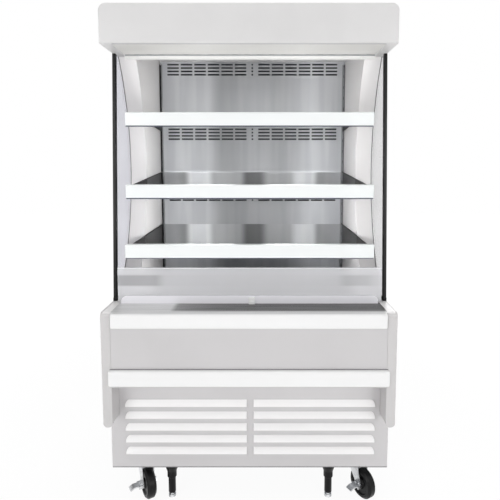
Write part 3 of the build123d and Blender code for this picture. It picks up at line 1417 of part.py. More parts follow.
fan_blades(
    CONDENSER_FAN_R,
    26,
    28,
    (sum(CONDENSER_X) / 2, CONDENSER_Y + CONDENSER_DEPTH + SHROUD_DEPTH / 2, CONDENSER_MIDDLE_Z),
    CONDENSER_SHAFT_R + AXLE_GAP,
    "condenser_fan",
)
drain_pan()
control_box()
finned_coil(
    (-EVAPORATOR_HALF, EVAPORATOR_HALF),
    (EVAPORATOR_Y, EVAPORATOR_Y + EVAPORATOR_DEPTH),
    (TUB_DECK_Z, TUB_DECK_Z + EVAPORATOR_H),
    EVAPORATOR_FINS,
    3,
    "evaporator_coil",
)
evap_fan_plate()
for fan_side, hand in ((-1, "left"), (1, "right")):
    fan_blades(
        EVAP_FAN_R,
        14,
        16,
        (fan_side * EVAP_FAN_X, FAN_PLATE_Y + EVAP_RING_DEPTH / 2, EVAP_FAN_Z),
        EVAP_SHAFT_R + AXLE_GAP,
        f"evap_fan_{hand}",
    )
caster_plates()
for caster_side, hand in ((-1, "left"), (1, "right")):
    for caster_y, end in ((CASTER_FRONT_Y, "front"), (CASTER_REAR_Y, "rear")):
        caster_fork(caster_side * CASTER_X, caster_y, end == "front", f"caster_fork_{end}_{hand}")
        caster_wheel(caster_side * CASTER_X, caster_y, f"caster_wheel_{end}_{hand}")
    brake_lever(caster_side * CASTER_X, CASTER_FRONT_Y, f"brake_lever_{hand}")
    leg_foot(caster_side * LEG_X, f"leg_foot_{hand}")
leg_sleeves()
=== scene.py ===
"""Open multideck display fridge: looks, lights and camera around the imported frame.

Sizes in the classes are millimetres, as on a workshop drawing, and become metres where a
mesh is made. The stage is laid out in metres. +X is to the right of someone who faces the
shelves and -Y is the open front.
"""

from __future__ import annotations

import json
import logging
import math
from dataclasses import dataclass, replace
from enum import Enum
from itertools import product
from typing import ClassVar

import bpy
from mathutils import Matrix, Vector

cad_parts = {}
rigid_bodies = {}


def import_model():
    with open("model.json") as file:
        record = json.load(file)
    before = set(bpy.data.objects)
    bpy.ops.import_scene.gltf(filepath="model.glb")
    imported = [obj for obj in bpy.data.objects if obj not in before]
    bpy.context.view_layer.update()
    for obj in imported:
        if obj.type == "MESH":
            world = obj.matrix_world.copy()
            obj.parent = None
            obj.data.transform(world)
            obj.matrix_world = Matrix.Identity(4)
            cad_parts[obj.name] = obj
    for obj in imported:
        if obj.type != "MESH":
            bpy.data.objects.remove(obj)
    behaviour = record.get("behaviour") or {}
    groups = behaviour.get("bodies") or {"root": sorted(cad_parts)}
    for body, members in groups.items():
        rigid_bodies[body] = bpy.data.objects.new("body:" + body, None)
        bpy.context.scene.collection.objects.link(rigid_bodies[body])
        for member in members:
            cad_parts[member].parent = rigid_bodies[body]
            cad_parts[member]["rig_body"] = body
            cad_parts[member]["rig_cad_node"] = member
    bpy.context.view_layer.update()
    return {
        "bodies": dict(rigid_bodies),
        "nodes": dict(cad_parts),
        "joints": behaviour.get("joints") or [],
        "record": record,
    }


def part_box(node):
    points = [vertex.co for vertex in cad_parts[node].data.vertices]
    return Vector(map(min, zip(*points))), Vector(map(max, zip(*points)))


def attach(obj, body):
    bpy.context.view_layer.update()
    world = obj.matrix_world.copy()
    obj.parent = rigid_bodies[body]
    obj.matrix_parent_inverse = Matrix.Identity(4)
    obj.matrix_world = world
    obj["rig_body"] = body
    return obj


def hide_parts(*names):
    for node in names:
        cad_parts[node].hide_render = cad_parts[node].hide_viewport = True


LOG = logging.getLogger("display_fridge")
MM = 0.001
HANDS = ((-1, "left"), (1, "right"))

Colour = tuple[float, float, float]
Point = tuple[float, float, float]
Spot = tuple[float, float]
PaintedStops = tuple[Spot, ...]
Piece = bpy.types.Object
Socket = bpy.types.NodeSocket


def ink(red: int, green: int, blue: int) -> Colour:
    """Linear colour of a screen colour.

    Args:
        red: Red level from 0 to 255.
        green: Green level from 0 to 255.
        blue: Blue level from 0 to 255.

    Returns:
        The three linear channels.
    """
    shares = [level / 255 for level in (red, green, blue)]
    linear = [s / 12.92 if s <= 0.04045 else ((s + 0.055) / 1.055) ** 2.4 for s in shares]
    return linear[0], linear[1], linear[2]


def dimmed(colour: Colour, share: float) -> Colour:
    """The colour with each channel times share."""
    return colour[0] * share, colour[1] * share, colour[2] * share


def box_mm(node: str) -> list[list[float]]:
    """The two corners of a node's box in millimetres."""
    return [[at / MM for at in corner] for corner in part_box(node)]


def circle_through(first: Spot, second: Spot, third: Spot) -> tuple[Spot, float]:
    """Centre and radius of the circle through three points."""
    (ax, ay), (bx, by), (cx, cy) = first, second, third
    a, b, c = (x * x + y * y for x, y in (first, second, third))
    twice = 2 * (ax * (by - cy) + bx * (cy - ay) + cx * (ay - by))
    x = (a * (by - cy) + b * (cy - ay) + c * (ay - by)) / twice
    y = (a * (cx - bx) + b * (ax - cx) + c * (bx - ax)) / twice
    return (x, y), math.hypot(ax - x, ay - y)


# ---------------------------------------------------------------- node trees and effects


class Wiring:
    """A shader node tree, with the moves that effects, finishes and the stage share."""

    MIX_NUMBER = (0, 2, 3)
    MIX_COLOUR = (0, 6, 7)

    def __init__(self, tree: bpy.types.NodeTree) -> None:
        """Take the tree that the nodes go into."""
        self.tree = tree

    def node(self, kind: str, **settings: str) -> bpy.types.Node:
        """A new shader node of a kind, with its settings."""
        made = self.tree.nodes.new(f"ShaderNode{kind}")
        for name, setting in settings.items():
            setattr(made, name, setting)
        return made

    def plug(self, socket: Socket, given: Socket | float | tuple[float, ...]) -> None:
        """Link what is given to an input socket, or set a plain value on it."""
        if isinstance(given, Socket):
            self.tree.links.new(given, socket)
        else:
            socket.default_value = given

    def place(self, kind: str = "Object") -> Socket:
        """Where the shaded point lies, on the object unless another kind is asked for."""
        return self.node("TexCoord").outputs[kind]

    def parts(self, kind: str = "Object") -> dict[str, Socket]:
        """The place as its X, Y and Z."""
        node = self.node("SeparateXYZ")
        self.plug(node.inputs["Vector"], self.place(kind))
        return {axis: node.outputs[axis] for axis in "XYZ"}

    def math(self, operation: str, *values: Socket | float) -> Socket:
        """The outcome of a sum on sockets or plain numbers."""
        node = self.node("Math", operation=operation)
        for socket, value in zip(node.inputs, values):
            self.plug(socket, value)
        return node.outputs[0]

    def noise(self, place: Socket, scale: Socket | float, detail: float) -> Socket:
        """A noise texture on place."""
        node = self.node("TexNoise")
        for name, given in (("Vector", place), ("Scale", scale), ("Detail", detail)):
            self.plug(node.inputs[name], given)
        return node.outputs["Fac"]

    def ranged(self, value: Socket, source: Spot, target: Spot, shape: str = "LINEAR") -> Socket:
        """The value laid from one range over another.

        Args:
            value: The value.
            source: Its low and high level. Past them the outcome stays the same.
            target: What they become.
            shape: Interpolation of the Map Range node.

        Returns:
            The outcome.
        """
        node = self.node("MapRange", interpolation_type=shape)
        for name, level in zip(("From Min", "From Max", "To Min", "To Max"), (*source, *target)):
            node.inputs[name].default_value = level
        self.plug(node.inputs["Value"], value)
        return node.outputs["Result"]

    def window(self, value: Socket, low: float, high: float) -> Socket:
        """The value stretched so that low becomes 0 and high becomes 1, with soft ends."""
        return self.ranged(value, (low, high), (0.0, 1.0), "SMOOTHSTEP")

    def step(self, value: Socket, start: float, end: float) -> Socket:
        """A window on a length, with its ends in millimetres."""
        return self.window(value, start * MM, end * MM)

    def spread(self, value: Socket, low: float, high: float) -> Socket:
        """The value from 0 to 1 laid over low to high."""
        return self.ranged(value, (0.0, 1.0), (low, high))

    def choose(self, share: Socket, first: Socket | float, second: Socket | float) -> Socket:
        """A number that goes from first to second with the share."""
        node = self.node("Mix")
        for index, given in zip(self.MIX_NUMBER, (share, first, second)):
            self.plug(node.inputs[index], given)
        return node.outputs[0]

    def blend(self, share: Socket, first: Socket | Colour, second: Colour) -> Socket:
        """A colour that goes from first to second with the share."""
        node = self.node("Mix", data_type="RGBA")
        first = first if isinstance(first, Socket) else (*first, 1.0)
        for index, given in zip(self.MIX_COLOUR, (share, first, (*second, 1.0))):
            self.plug(node.inputs[index], given)
        return node.outputs[2]

    def darken(self, colour: Socket, share: Socket) -> Socket:
        """The colour times a share."""
        node = self.node("VectorMath", operation="SCALE")
        self.plug(node.inputs[0], colour)
        self.plug(node.inputs["Scale"], share)
        return node.outputs[0]


class Effect(Enum):
    """Surface effects that several finishes share, each one a shader node group."""

    PEEL = "orange_peel"
    GRAIN = "brushed_grain"
    BANDS = "broad_bands"
    SMUDGE = "handling_smudges"
    GRIME = "floor_grime"


GRIME_SCALE = 60.0
NOISE_DETAIL = {
    Effect.PEEL: 2.0,
    Effect.GRAIN: 5.0,
    Effect.BANDS: 1.0,
    Effect.SMUDGE: 4.0,
    Effect.GRIME: 4.0,
}
# The noise levels that become 0 and 1
NOISE_WINDOW = {
    Effect.GRAIN: (0.25, 0.75),
    Effect.BANDS: (0.38, 0.62),
    Effect.SMUDGE: (0.4, 0.7),
    Effect.GRIME: (-0.3, 0.6),
}


def effect_group(kind: Effect) -> bpy.types.NodeTree:
    """The effect's node group, built on first use.

    Args:
        kind: The effect.

    Returns:
        The group's tree, with one input for its scale and one output value.
    """
    known = bpy.data.node_groups.get(kind.value)
    if known:
        return known
    tree = bpy.data.node_groups.new(kind.value, "ShaderNodeTree")
    along = kind in (Effect.GRAIN, Effect.BANDS)
    name, socket = ("Stretch", "NodeSocketVector") if along else ("Scale", "NodeSocketFloat")
    tree.interface.new_socket(name, in_out="INPUT", socket_type=socket)
    tree.interface.new_socket("Value", in_out="OUTPUT", socket_type="NodeSocketFloat")
    wiring = Wiring(tree)
    scale, place = tree.nodes.new("NodeGroupInput").outputs[0], wiring.place()
    detail = NOISE_DETAIL[kind]
    if along:
        mapping = wiring.node("Mapping")
        wiring.plug(mapping.inputs["Vector"], place)
        wiring.plug(mapping.inputs["Scale"], scale)
        value = wiring.noise(mapping.outputs["Vector"], 1.0, detail)
    elif kind is Effect.GRIME:
        risen = wiring.math("DIVIDE", wiring.parts()["Z"], scale)
        value = wiring.math("SUBTRACT", wiring.noise(place, GRIME_SCALE, detail), risen)
    else:
        value = wiring.noise(place, scale, detail)
    if kind in NOISE_WINDOW:
        value = wiring.window(value, *NOISE_WINDOW[kind])
    wiring.plug(tree.nodes.new("NodeGroupOutput").inputs["Value"], value)
    return tree


class Board(Wiring):
    """The node tree of one material, with its Principled shader."""

    SWAY_SCALE = 2.5
    SWAY_DETAIL = 2.0

    def __init__(self, material: bpy.types.Material) -> None:
        """Take the material's tree and its Principled shader."""
        super().__init__(material.node_tree)
        self.shader = self.tree.nodes["Principled BSDF"]

    def feed(self, **given: Socket | float | tuple[float, ...]) -> None:
        """Link or set the shader's sockets, with _ for the blanks in their names."""
        for name, value in given.items():
            self.plug(self.shader.inputs[name.replace("_", " ")], value)

    def effect(self, kind: Effect, scale: float | Point) -> Socket:
        """Place an effect group with its scale, and return its value."""
        node = self.node("Group")
        node.node_tree = effect_group(kind)
        node.inputs[0].default_value = scale
        return node.outputs["Value"]

    def in_metal(self) -> Socket:
        """Whether the surface is seen in polished metal, and not straight or through glass: where
        painted reflections go.
        """
        sight = self.node("LightPath").outputs
        painted_reflection = self.math("SUBTRACT", sight["Is Glossy Ray"], sight["Is Transmission Ray"])
        return self.math("GREATER_THAN", painted_reflection, 0.5)

    def ramp(self, across: Socket, stops: PaintedStops, shape: str) -> Socket:
        """The stops' share at a place across the sheet, with the ramp's interpolation."""
        node = self.node("ValToRGB")
        node.color_ramp.interpolation = shape
        first, last = stops[0][0], stops[-1][0]
        self.plug(node.inputs["Fac"], self.ranged(across, (first * MM, last * MM), (0.0, 1.0)))
        known = node.color_ramp.elements
        for at, share in stops:
            ends = {first: known[0], last: known[-1]}
            stop = ends[at] if at in ends else known.new((at - first) / (last - first))
            stop.color = (share, share, share, 1.0)
        return node.outputs["Color"]

    def painted_light_share(self, direct: PaintedStops, painted_reflection: PaintedStops = (), wander: float = 0.0) -> Socket:
        """Painted light, shade and reflection over the width of a sheet, soft between its stops.

        Args:
            direct: Place across the sheet in millimetres and share, from left to right.
            painted_reflection: The painted reflection as polished steel shows it, or none.
            wander: How far the stops sway to both sides in metres.

        Returns:
            The share at each point.
        """
        aside = self.parts()["X"]
        noise = self.noise(self.place(), self.SWAY_SCALE, self.SWAY_DETAIL)
        sway = self.math("SUBTRACT", noise, 0.5)
        share = self.ramp(self.math("MULTIPLY_ADD", sway, wander, aside), direct, "B_SPLINE")
        if painted_reflection:
            share = self.choose(self.in_metal(), share, self.ramp(aside, painted_reflection, "EASE"))
        return share

    def bump(self, height: Socket, depth: float) -> None:
        """Feed the shader's normal from a height, depth millimetres deep."""
        node = self.node("Bump")
        node.inputs["Distance"].default_value = depth * MM
        self.plug(node.inputs["Height"], height)
        self.feed(Normal=node.outputs["Normal"])


# ---------------------------------------------------------------- finishes


@dataclass(frozen=True)
class Finish:
    """A finish with its own procedural material, made on first use."""

    name: str
    colour: Colour
    roughness: float

    def material(self) -> bpy.types.Material:
        """The finish's material."""
        made = bpy.data.materials.get(self.name)
        if made is None:
            made = bpy.data.materials.new(self.name)
            made.use_nodes = True
            self.wire(Board(made))
        return made

    def wire(self, board: Board) -> None:
        """Build the nodes of the material. Each kind of finish has its own."""
        raise NotImplementedError(self.name)

    def dress(self, piece: Piece) -> None:
        """Make the finish the piece's only material."""
        piece.data.materials.clear()
        piece.data.materials.append(self.material())


@dataclass(frozen=True)
class Coated(Finish):
    """Stoved enamel or moulded plastic: a faint peel, soft smudges and a drift of tone."""

    peel: float = 0.012
    peel_scale: float = 700.0
    smudge_scale: float = 5.0
    shade: float = 0.965
    coat: float = 0.0
    coat_roughness: float = 0.12
    gloss: float = 0.5
    wear: float = 0.07
    # Painted reflection: share of the colour as polished metal shows it, so the surface looks
    # darker in steel than it is.
    painted_reflection: float = 1.0

    def tone(self, board: Board, smudge: Socket) -> Socket:
        """The enamel's colour, a little darker in its smudges."""
        return board.blend(smudge, self.colour, dimmed(self.colour, self.shade))

    def wire(self, board: Board) -> None:
        """Tone and roughness from smudges, and a fine peel in the normal."""
        smudge = board.effect(Effect.SMUDGE, self.smudge_scale)
        tone = self.tone(board, smudge)
        # Painted reflection: the tone is darkened where polished metal shows it.
        if self.painted_reflection < 1.0:
            tone = board.darken(tone, board.choose(board.in_metal(), 1.0, self.painted_reflection))
        board.feed(
            Base_Color=tone,
            Roughness=board.spread(smudge, self.roughness, self.roughness + self.wear),
            Coat_Weight=self.coat,
            Coat_Roughness=self.coat_roughness,
            Specular_IOR_Level=self.gloss,
        )
        board.bump(board.effect(Effect.PEEL, self.peel_scale), self.peel)


@dataclass(frozen=True)
class Lined(Coated):
    """Enamel outside, and a moulded liner inside whose tone carries painted light and shade, with
    its own tone beside the shelves.
    """

    # Liner tone: the liner's white, brightened on the end walls' front folds as painted light
    # against their shade; on the rear wall it is painted shade.
    liner: Colour = (0.9, 0.9, 0.9)
    cheek: Colour = (0.9, 0.9, 0.9)
    liner_half: float = 455.0
    liner_foot: float = 676.0
    liner_rear: float = 360.0
    liner_blur: float = 2.0
    cheek_half: float = 394.8
    cheek_blur: float = 0.4

    def tone(self, board: Board, smudge: Socket) -> Socket:
        """The enamel, with the liner's painted light and shade above its foot, before its rear and
        between its sides.
        """
        parts = board.parts()
        aside = board.math("ABSOLUTE", parts["X"])
        inside = board.step(aside, self.liner_half, self.liner_half - self.liner_blur)
        above = board.step(parts["Z"], self.liner_foot - self.liner_blur, self.liner_foot)
        before = board.step(parts["Y"], self.liner_rear, self.liner_rear - self.liner_blur)
        beside = board.step(aside, self.cheek_half, self.cheek_half - self.cheek_blur)
        lined = board.math("MULTIPLY", board.math("MULTIPLY", inside, above), before)
        tone = board.blend(lined, super().tone(board, smudge), self.liner)
        return board.blend(board.math("MULTIPLY", lined, beside), tone, self.cheek)


@dataclass(frozen=True)
class HoodLitEnamel(Coated):
    """Enamel with pressed hoods painted lighter as painted light from above, and painted shade on
    their lower lips.
    """

    # Painted light: the hoods' lighter tone, as if lit from above.
    hood_painted_light: Colour = (0.9, 0.9, 0.9)
    plane_y: float = -278.6
    plane_blur: float = 0.8
    first_z: float = 171.0
    pitch: float = 41.0
    # Painted shade: the height of each hood's lower lip kept in the panel's tone.
    shaded_lip: float = 6.5
    lip_blur: float = 0.02

    def tone(self, board: Board, smudge: Socket) -> Socket:
        """The enamel, with the hoods' painted light in front of the plane and above each lip's
        painted shade.
        """
        parts = board.parts()
        proud = board.step(parts["Y"], self.plane_y, self.plane_y - self.plane_blur)
        risen = board.math("SUBTRACT", parts["Z"], self.first_z * MM)
        rows = board.math("DIVIDE", risen, self.pitch * MM)
        share = self.shaded_lip / self.pitch
        above = board.window(board.math("FRACT", rows), share - self.lip_blur, share)
        hood_lit = board.math("MULTIPLY", proud, above)
        return board.blend(hood_lit, super().tone(board, smudge), self.hood_painted_light)


@dataclass(frozen=True)
class Steel(Finish):
    """Rolled or brushed sheet: a fine grain, broad lighter and darker bands, and where given
    painted reflections and shade across the width and a painted highlight on the nose.
    """

    second: Colour = (0.5, 0.5, 0.5)
    grain: Point = (4.0, 4.0, 400.0)
    grain_depth: float = 0.01
    grain_wear: Spot = (0.8, 1.25)
    bands: Point = (3.0, 0.0, 0.3)
    edge_tint: float = 1.0
    metallic: float = 1.0
    # Painted reflections and shade as stops across the width, and the painted reflection that
    # polished metal shows.
    painted_light_bands: PaintedStops = ()
    painted_reflection: PaintedStops = ()
    wander: float = 0.06
    # Painted highlight: the plain colour, undimmed, at the front edge between two depths.
    painted_nose_highlight: tuple[float, ...] = ()

    def wire(self, board: Board) -> None:
        """Grain in roughness and normal, bands in the colour, and painted reflections and shade
        across the width.
        """
        grain = board.effect(Effect.GRAIN, self.grain)
        tone = board.blend(board.effect(Effect.BANDS, self.bands), self.colour, self.second)
        # Painted reflections and shade across the width scale the tone.
        if self.painted_light_bands:
            tone = board.darken(tone, board.painted_light_share(self.painted_light_bands, self.painted_reflection, self.wander))
        # Painted highlight on the front edge.
        if self.painted_nose_highlight:
            tone = board.blend(board.step(board.parts()["Y"], *self.painted_nose_highlight), tone, self.colour)
        low, high = (self.roughness * share for share in self.grain_wear)
        board.feed(
            Base_Color=tone,
            Roughness=board.spread(grain, low, high),
            Metallic=self.metallic,
            Specular_Tint=(self.edge_tint,) * 3 + (1.0,),
        )
        board.bump(grain, self.grain_depth)


@dataclass(frozen=True)
class Plated(Finish):
    """Zinc or chrome plate with a cloudy spangle, dulled near the floor."""

    spangle: float = 90.0
    spangle_depth: float = 0.01
    shade: float = 0.8
    wear: float = 0.12
    dull: float = 0.6
    dull_height: float = 0.12
    dull_most: float = 0.5

    def wire(self, board: Board) -> None:
        """Cloudy tone, and grime that rises from the floor."""
        cloud = board.effect(Effect.SMUDGE, self.spangle)
        base = board.blend(cloud, self.colour, dimmed(self.colour, self.shade))
        grime = board.spread(board.effect(Effect.GRIME, self.dull_height), 0.0, self.dull_most)
        board.feed(
            Base_Color=board.blend(grime, base, dimmed(self.colour, self.dull)),
            Roughness=board.spread(cloud, self.roughness, self.roughness + self.wear),
            Metallic=1.0,
        )
        board.bump(cloud, self.spangle_depth)


@dataclass(frozen=True)
class Clear(Finish):
    """Clear acrylic sheet with a faint cast and fine handling haze, and painted shade in a band
    where given.
    """

    ior: float = 1.49
    haze: float = 0.03
    smudge_scale: float = 9.0
    shade: float = 0.985
    clearness: float = 1.0
    # Painted shade: darker across the width between two heights.
    painted_light_bands: PaintedStops = ()
    painted_shade_band: tuple[float, ...] = ()
    band_edge: float = 8.0

    def wire(self, board: Board) -> None:
        """A tint that drifts a little, painted shade across the width between the band's heights,
        and haze.
        """
        smudge = board.effect(Effect.SMUDGE, self.smudge_scale)
        tone = board.blend(smudge, self.colour, dimmed(self.colour, self.shade))
        # Painted shade between the band's heights.
        if self.painted_shade_band:
            height, (low, high) = board.parts()["Z"], self.painted_shade_band
            over = board.step(height, low, low + self.band_edge)
            under = board.step(height, high, high - self.band_edge)
            within = board.math("MULTIPLY", over, under)
            tone = board.darken(tone, board.choose(within, 1.0, board.painted_light_share(self.painted_light_bands)))
        board.feed(
            Base_Color=tone,
            Roughness=board.spread(smudge, self.roughness, self.roughness + self.haze),
            IOR=self.ior,
            Transmission_Weight=self.clearness,
        )


@dataclass(frozen=True)
class Glow(Finish):
    """Opal cover of a light strip, lit from inside, with soft clouds along it."""

    strength: float = 1.0
    shade: float = 0.94
    clouds: Point = (2.0, 0.0, 0.0)
    peel: float = 0.01
    peel_scale: float = 500.0

    def wire(self, board: Board) -> None:
        """An even glow over the opal plastic."""
        cloud = board.effect(Effect.BANDS, self.clouds)
        tone = board.blend(cloud, self.colour, dimmed(self.colour, self.shade))
        board.feed(Base_Color=tone, Roughness=self.roughness)
        board.feed(Emission_Color=tone, Emission_Strength=self.strength)
        board.bump(board.effect(Effect.PEEL, self.peel_scale), self.peel)


# Painted reflections on the back steel: lighter at both ends, darker in the middle.
BACK_PAINTED_REFLECTIONS: PaintedStops = (
    (-394.0, 1.36), (-350.0, 1.36), (-290.0, 0.9), (-190.0, 0.82), (-165.0, 0.7), (-130.0, 0.47),
    (-60.0, 0.55), (0.0, 0.64), (60.0, 0.64), (110.0, 0.58), (150.0, 0.66), (190.0, 0.76),
    (245.0, 0.9), (300.0, 1.34), (350.0, 1.36), (394.0, 1.36),
)
# Painted reflection: how the back shows in the polished shelf pans, lighter and darker bands across
# the width.
SHELF_PAINTED_REFLECTIONS: PaintedStops = (
    (-394.0, 0.7), (-345.0, 0.76), (-300.0, 0.58), (-265.0, 1.42), (-200.0, 1.42),
    (-165.0, 0.8), (-60.0, 0.7), (-20.0, 0.24), (30.0, 0.27), (75.0, 0.68),
    (160.0, 0.74), (200.0, 1.34), (260.0, 1.34), (290.0, 0.66), (394.0, 0.84),
)
# Painted reflection on the sill: light at the left, dark over the rest.
SILL_PAINTED_REFLECTIONS: PaintedStops = ((-430.0, 1.4), (-250.0, 1.4), (-228.0, 0.18), (0.0, 0.14), (430.0, 0.15))
# Painted shade on the standards: near black at the left end, grey at the right end.
STANDARD_PAINTED_SHADE: PaintedStops = (
    (-394.0, 0.03), (-387.0, 0.03), (-386.0, 0.85), (0.0, 0.85),
    (388.0, 0.85), (390.0, 0.5), (394.0, 0.45),
)
# Painted shade through the guard: its ends darker, where the cheeks lie behind it in shade.
GUARD_PAINTED_SHADE: PaintedStops = (
    (-436.0, 0.66), (-310.0, 0.68), (-278.0, 1.0), (288.0, 1.0),
    (320.0, 0.78), (388.0, 0.8), (410.0, 0.94), (436.0, 0.94),
)
# Painted shade: dark grey on the rear wall's inside, seen through the back's slots.
DUCT_PAINTED_SHADE = ink(84, 86, 90)
# The same white enamel in lit and shaded copies, painted light set piece by piece: the canopy, its
# soffit and the ceiling liner lighter, the end walls, front panel and louvred panel darker.
WALL_GREY = ink(211, 209, 209)

CANOPY_ENAMEL = Coated("canopy_enamel", ink(224, 223, 223), 0.30)
SOFFIT_ENAMEL = Coated("soffit_enamel", ink(233, 232, 229), 0.35)
LINER_ENAMEL = Coated("liner_enamel", ink(240, 239, 238), 0.35)
FRONT_ENAMEL = Coated("front_enamel", ink(209, 207, 208), 0.30)
# End walls: the liner's white brightened on the front folds as painted light, and painted
# reflection that keeps the walls dark in polished steel.
WALL_ENAMEL = Lined(
    "wall_enamel",
    WALL_GREY,
    0.32,
    painted_reflection=0.07,
    liner=ink(251, 249, 249),
    cheek=ink(230, 228, 228),
)
# Rear wall: painted shade on its inside, dark behind the back's slots.
REAR_ENAMEL = Lined("rear_enamel", WALL_GREY, 0.32, liner=DUCT_PAINTED_SHADE, cheek=DUCT_PAINTED_SHADE)
# Louvred panel: hoods painted lighter as painted light, their lower lips in the panel's tone as
# painted shade.
LOUVRE_ENAMEL = HoodLitEnamel("louvre_enamel", ink(212, 210, 211), 0.30, hood_painted_light=ink(255, 254, 254))
BUMPER_WHITE = Coated("bumper_white", ink(246, 246, 246), 0.24, shade=0.994, wear=0.02)
RAIL_WHITE = Coated("rail_white", ink(252, 255, 255), 0.25, shade=0.994, wear=0.02)
CELL_WHITE = Coated("cell_white", ink(237, 236, 233), 0.5)
CATCH_WHITE = Coated("catch_white", ink(250, 250, 250), 0.2, coat=0.3)
# Painted highlight: a white strip along the guard's top edge stands for its bright glint.
EDGE_HIGHLIGHT_WHITE = Coated("edge_highlight_white", ink(246, 247, 250), 0.2, coat=0.2)
# Painted shadow lines: a dark grey strip under each ticket rail and round the soffit's edges.
SHADOW_LINE_GREY = Coated("shadow_line_grey", ink(84, 90, 104), 0.4, shade=0.9)
# Painted shadow gaps: thin grey strips at the bumpers, the louvred panel's foot, the panes'
# hollowed edges and the right standard.
SHADOW_GAP_GREY = Coated("gasket_grey", ink(128, 127, 128), 0.5, shade=0.9)
TRIM_BLACK = Coated("trim_black", ink(11, 11, 12), 0.28, shade=0.8, gloss=0.3)
LEG_BLACK = Coated("leg_black", ink(12, 12, 13), 0.16, shade=0.8, gloss=0.2)
BRACKET_BLACK = Coated("bracket_black", ink(38, 38, 40), 0.4, shade=0.85)
MACHINE_BLACK = Coated("machine_black", ink(24, 24, 25), 0.35, shade=0.8)
FAN_BLACK = Coated("fan_black", ink(34, 34, 36), 0.42, shade=0.85)
TYRE_BLACK = Coated("tyre_black", ink(14, 14, 15), 0.34, peel=0.03, shade=0.75, gloss=0.22)
ZINC = Plated("zinc_plate", ink(226, 227, 229), 0.3, dull=0.88)
CHROME = Plated("chrome_plate", ink(236, 237, 239), 0.12, spangle=40.0, dull=0.9)
SCREW_ZINC = Plated("screw_zinc", ink(186, 187, 189), 0.3, spangle=140.0)
# The same clear acrylic in a shaded copy at the left and a lit copy at the right: painted light.
PANE_LEFT = Clear("pane_left", ink(241, 241, 248), 0.02)
PANE_RIGHT = Clear("pane_right", ink(254, 254, 255), 0.02)
RAIL_CLEAR = Clear("rail_clear", ink(251, 250, 255), 0.12, haze=0.08, clearness=0.05)
# Guard: painted shade at its ends between two heights.
GUARD_CLEAR = Clear(
    "guard_clear",
    ink(252, 252, 255),
    0.02,
    haze=0.02,
    clearness=0.5,
    painted_light_bands=GUARD_PAINTED_SHADE,
    painted_shade_band=(732.0, 776.0),
)
LAMP_OPAL = Glow("lamp_opal", ink(226, 226, 224), 0.4, strength=0.24)
COIL_ALUMINIUM = Steel(
    "coil_aluminium", ink(198, 200, 202), 0.35, second=ink(178, 180, 184), grain=(90.0, 90.0, 90.0)
)
GALVANISED = Steel(
    "galvanised_sheet",
    ink(178, 180, 182),
    0.4,
    second=ink(160, 163, 166),
    grain=(30.0, 30.0, 30.0),
    bands=(6.0, 6.0, 6.0),
)
DECK_STEEL = Steel(
    "deck_steel",
    ink(215, 215, 218),
    0.3,
    second=ink(200, 200, 204),
    grain=(500.0, 3.0, 10.0),
    bands=(4.0, 0.4, 0.0),
    metallic=0.35,
)
SHELF_STEEL = Steel(
    "shelf_steel",
    ink(238, 238, 236),
    0.06,
    second=ink(226, 226, 224),
    grain=(500.0, 3.0, 10.0),
    grain_depth=0.002,
    bands=(7.0, 0.4, 0.0),
    edge_tint=0.9,
)
# Back steel: painted reflections across its width, and the painted reflection of it that the
# shelves show.
BACK_STEEL = Steel(
    "back_steel",
    ink(222, 224, 227),
    0.38,
    second=ink(213, 215, 219),
    grain=(500.0, 10.0, 3.0),
    bands=(24.0, 0.0, 1.6),
    metallic=0.14,
    painted_light_bands=BACK_PAINTED_REFLECTIONS,
    painted_reflection=SHELF_PAINTED_REFLECTIONS,
)
# Sill: a painted reflection across its width, and a painted highlight on its front edge.
SILL_STEEL = Steel(
    "sill_steel",
    ink(222, 222, 222),
    0.3,
    second=ink(212, 212, 212),
    grain=(3.0, 500.0, 10.0),
    edge_tint=0.4,
    metallic=0.1,
    painted_light_bands=SILL_PAINTED_REFLECTIONS,
    painted_nose_highlight=(-322.0, -340.0),
)
# Standards: painted shade at their ends.
STANDARD_STEEL = Steel(
    "standard_steel",
    ink(196, 198, 201),
    0.4,
    second=ink(182, 184, 188),
    grain=(300.0, 300.0, 4.0),
    metallic=0.4,
    painted_light_bands=STANDARD_PAINTED_SHADE,
    wander=0.0,
)


# ---------------------------------------------------------------- workshop moves


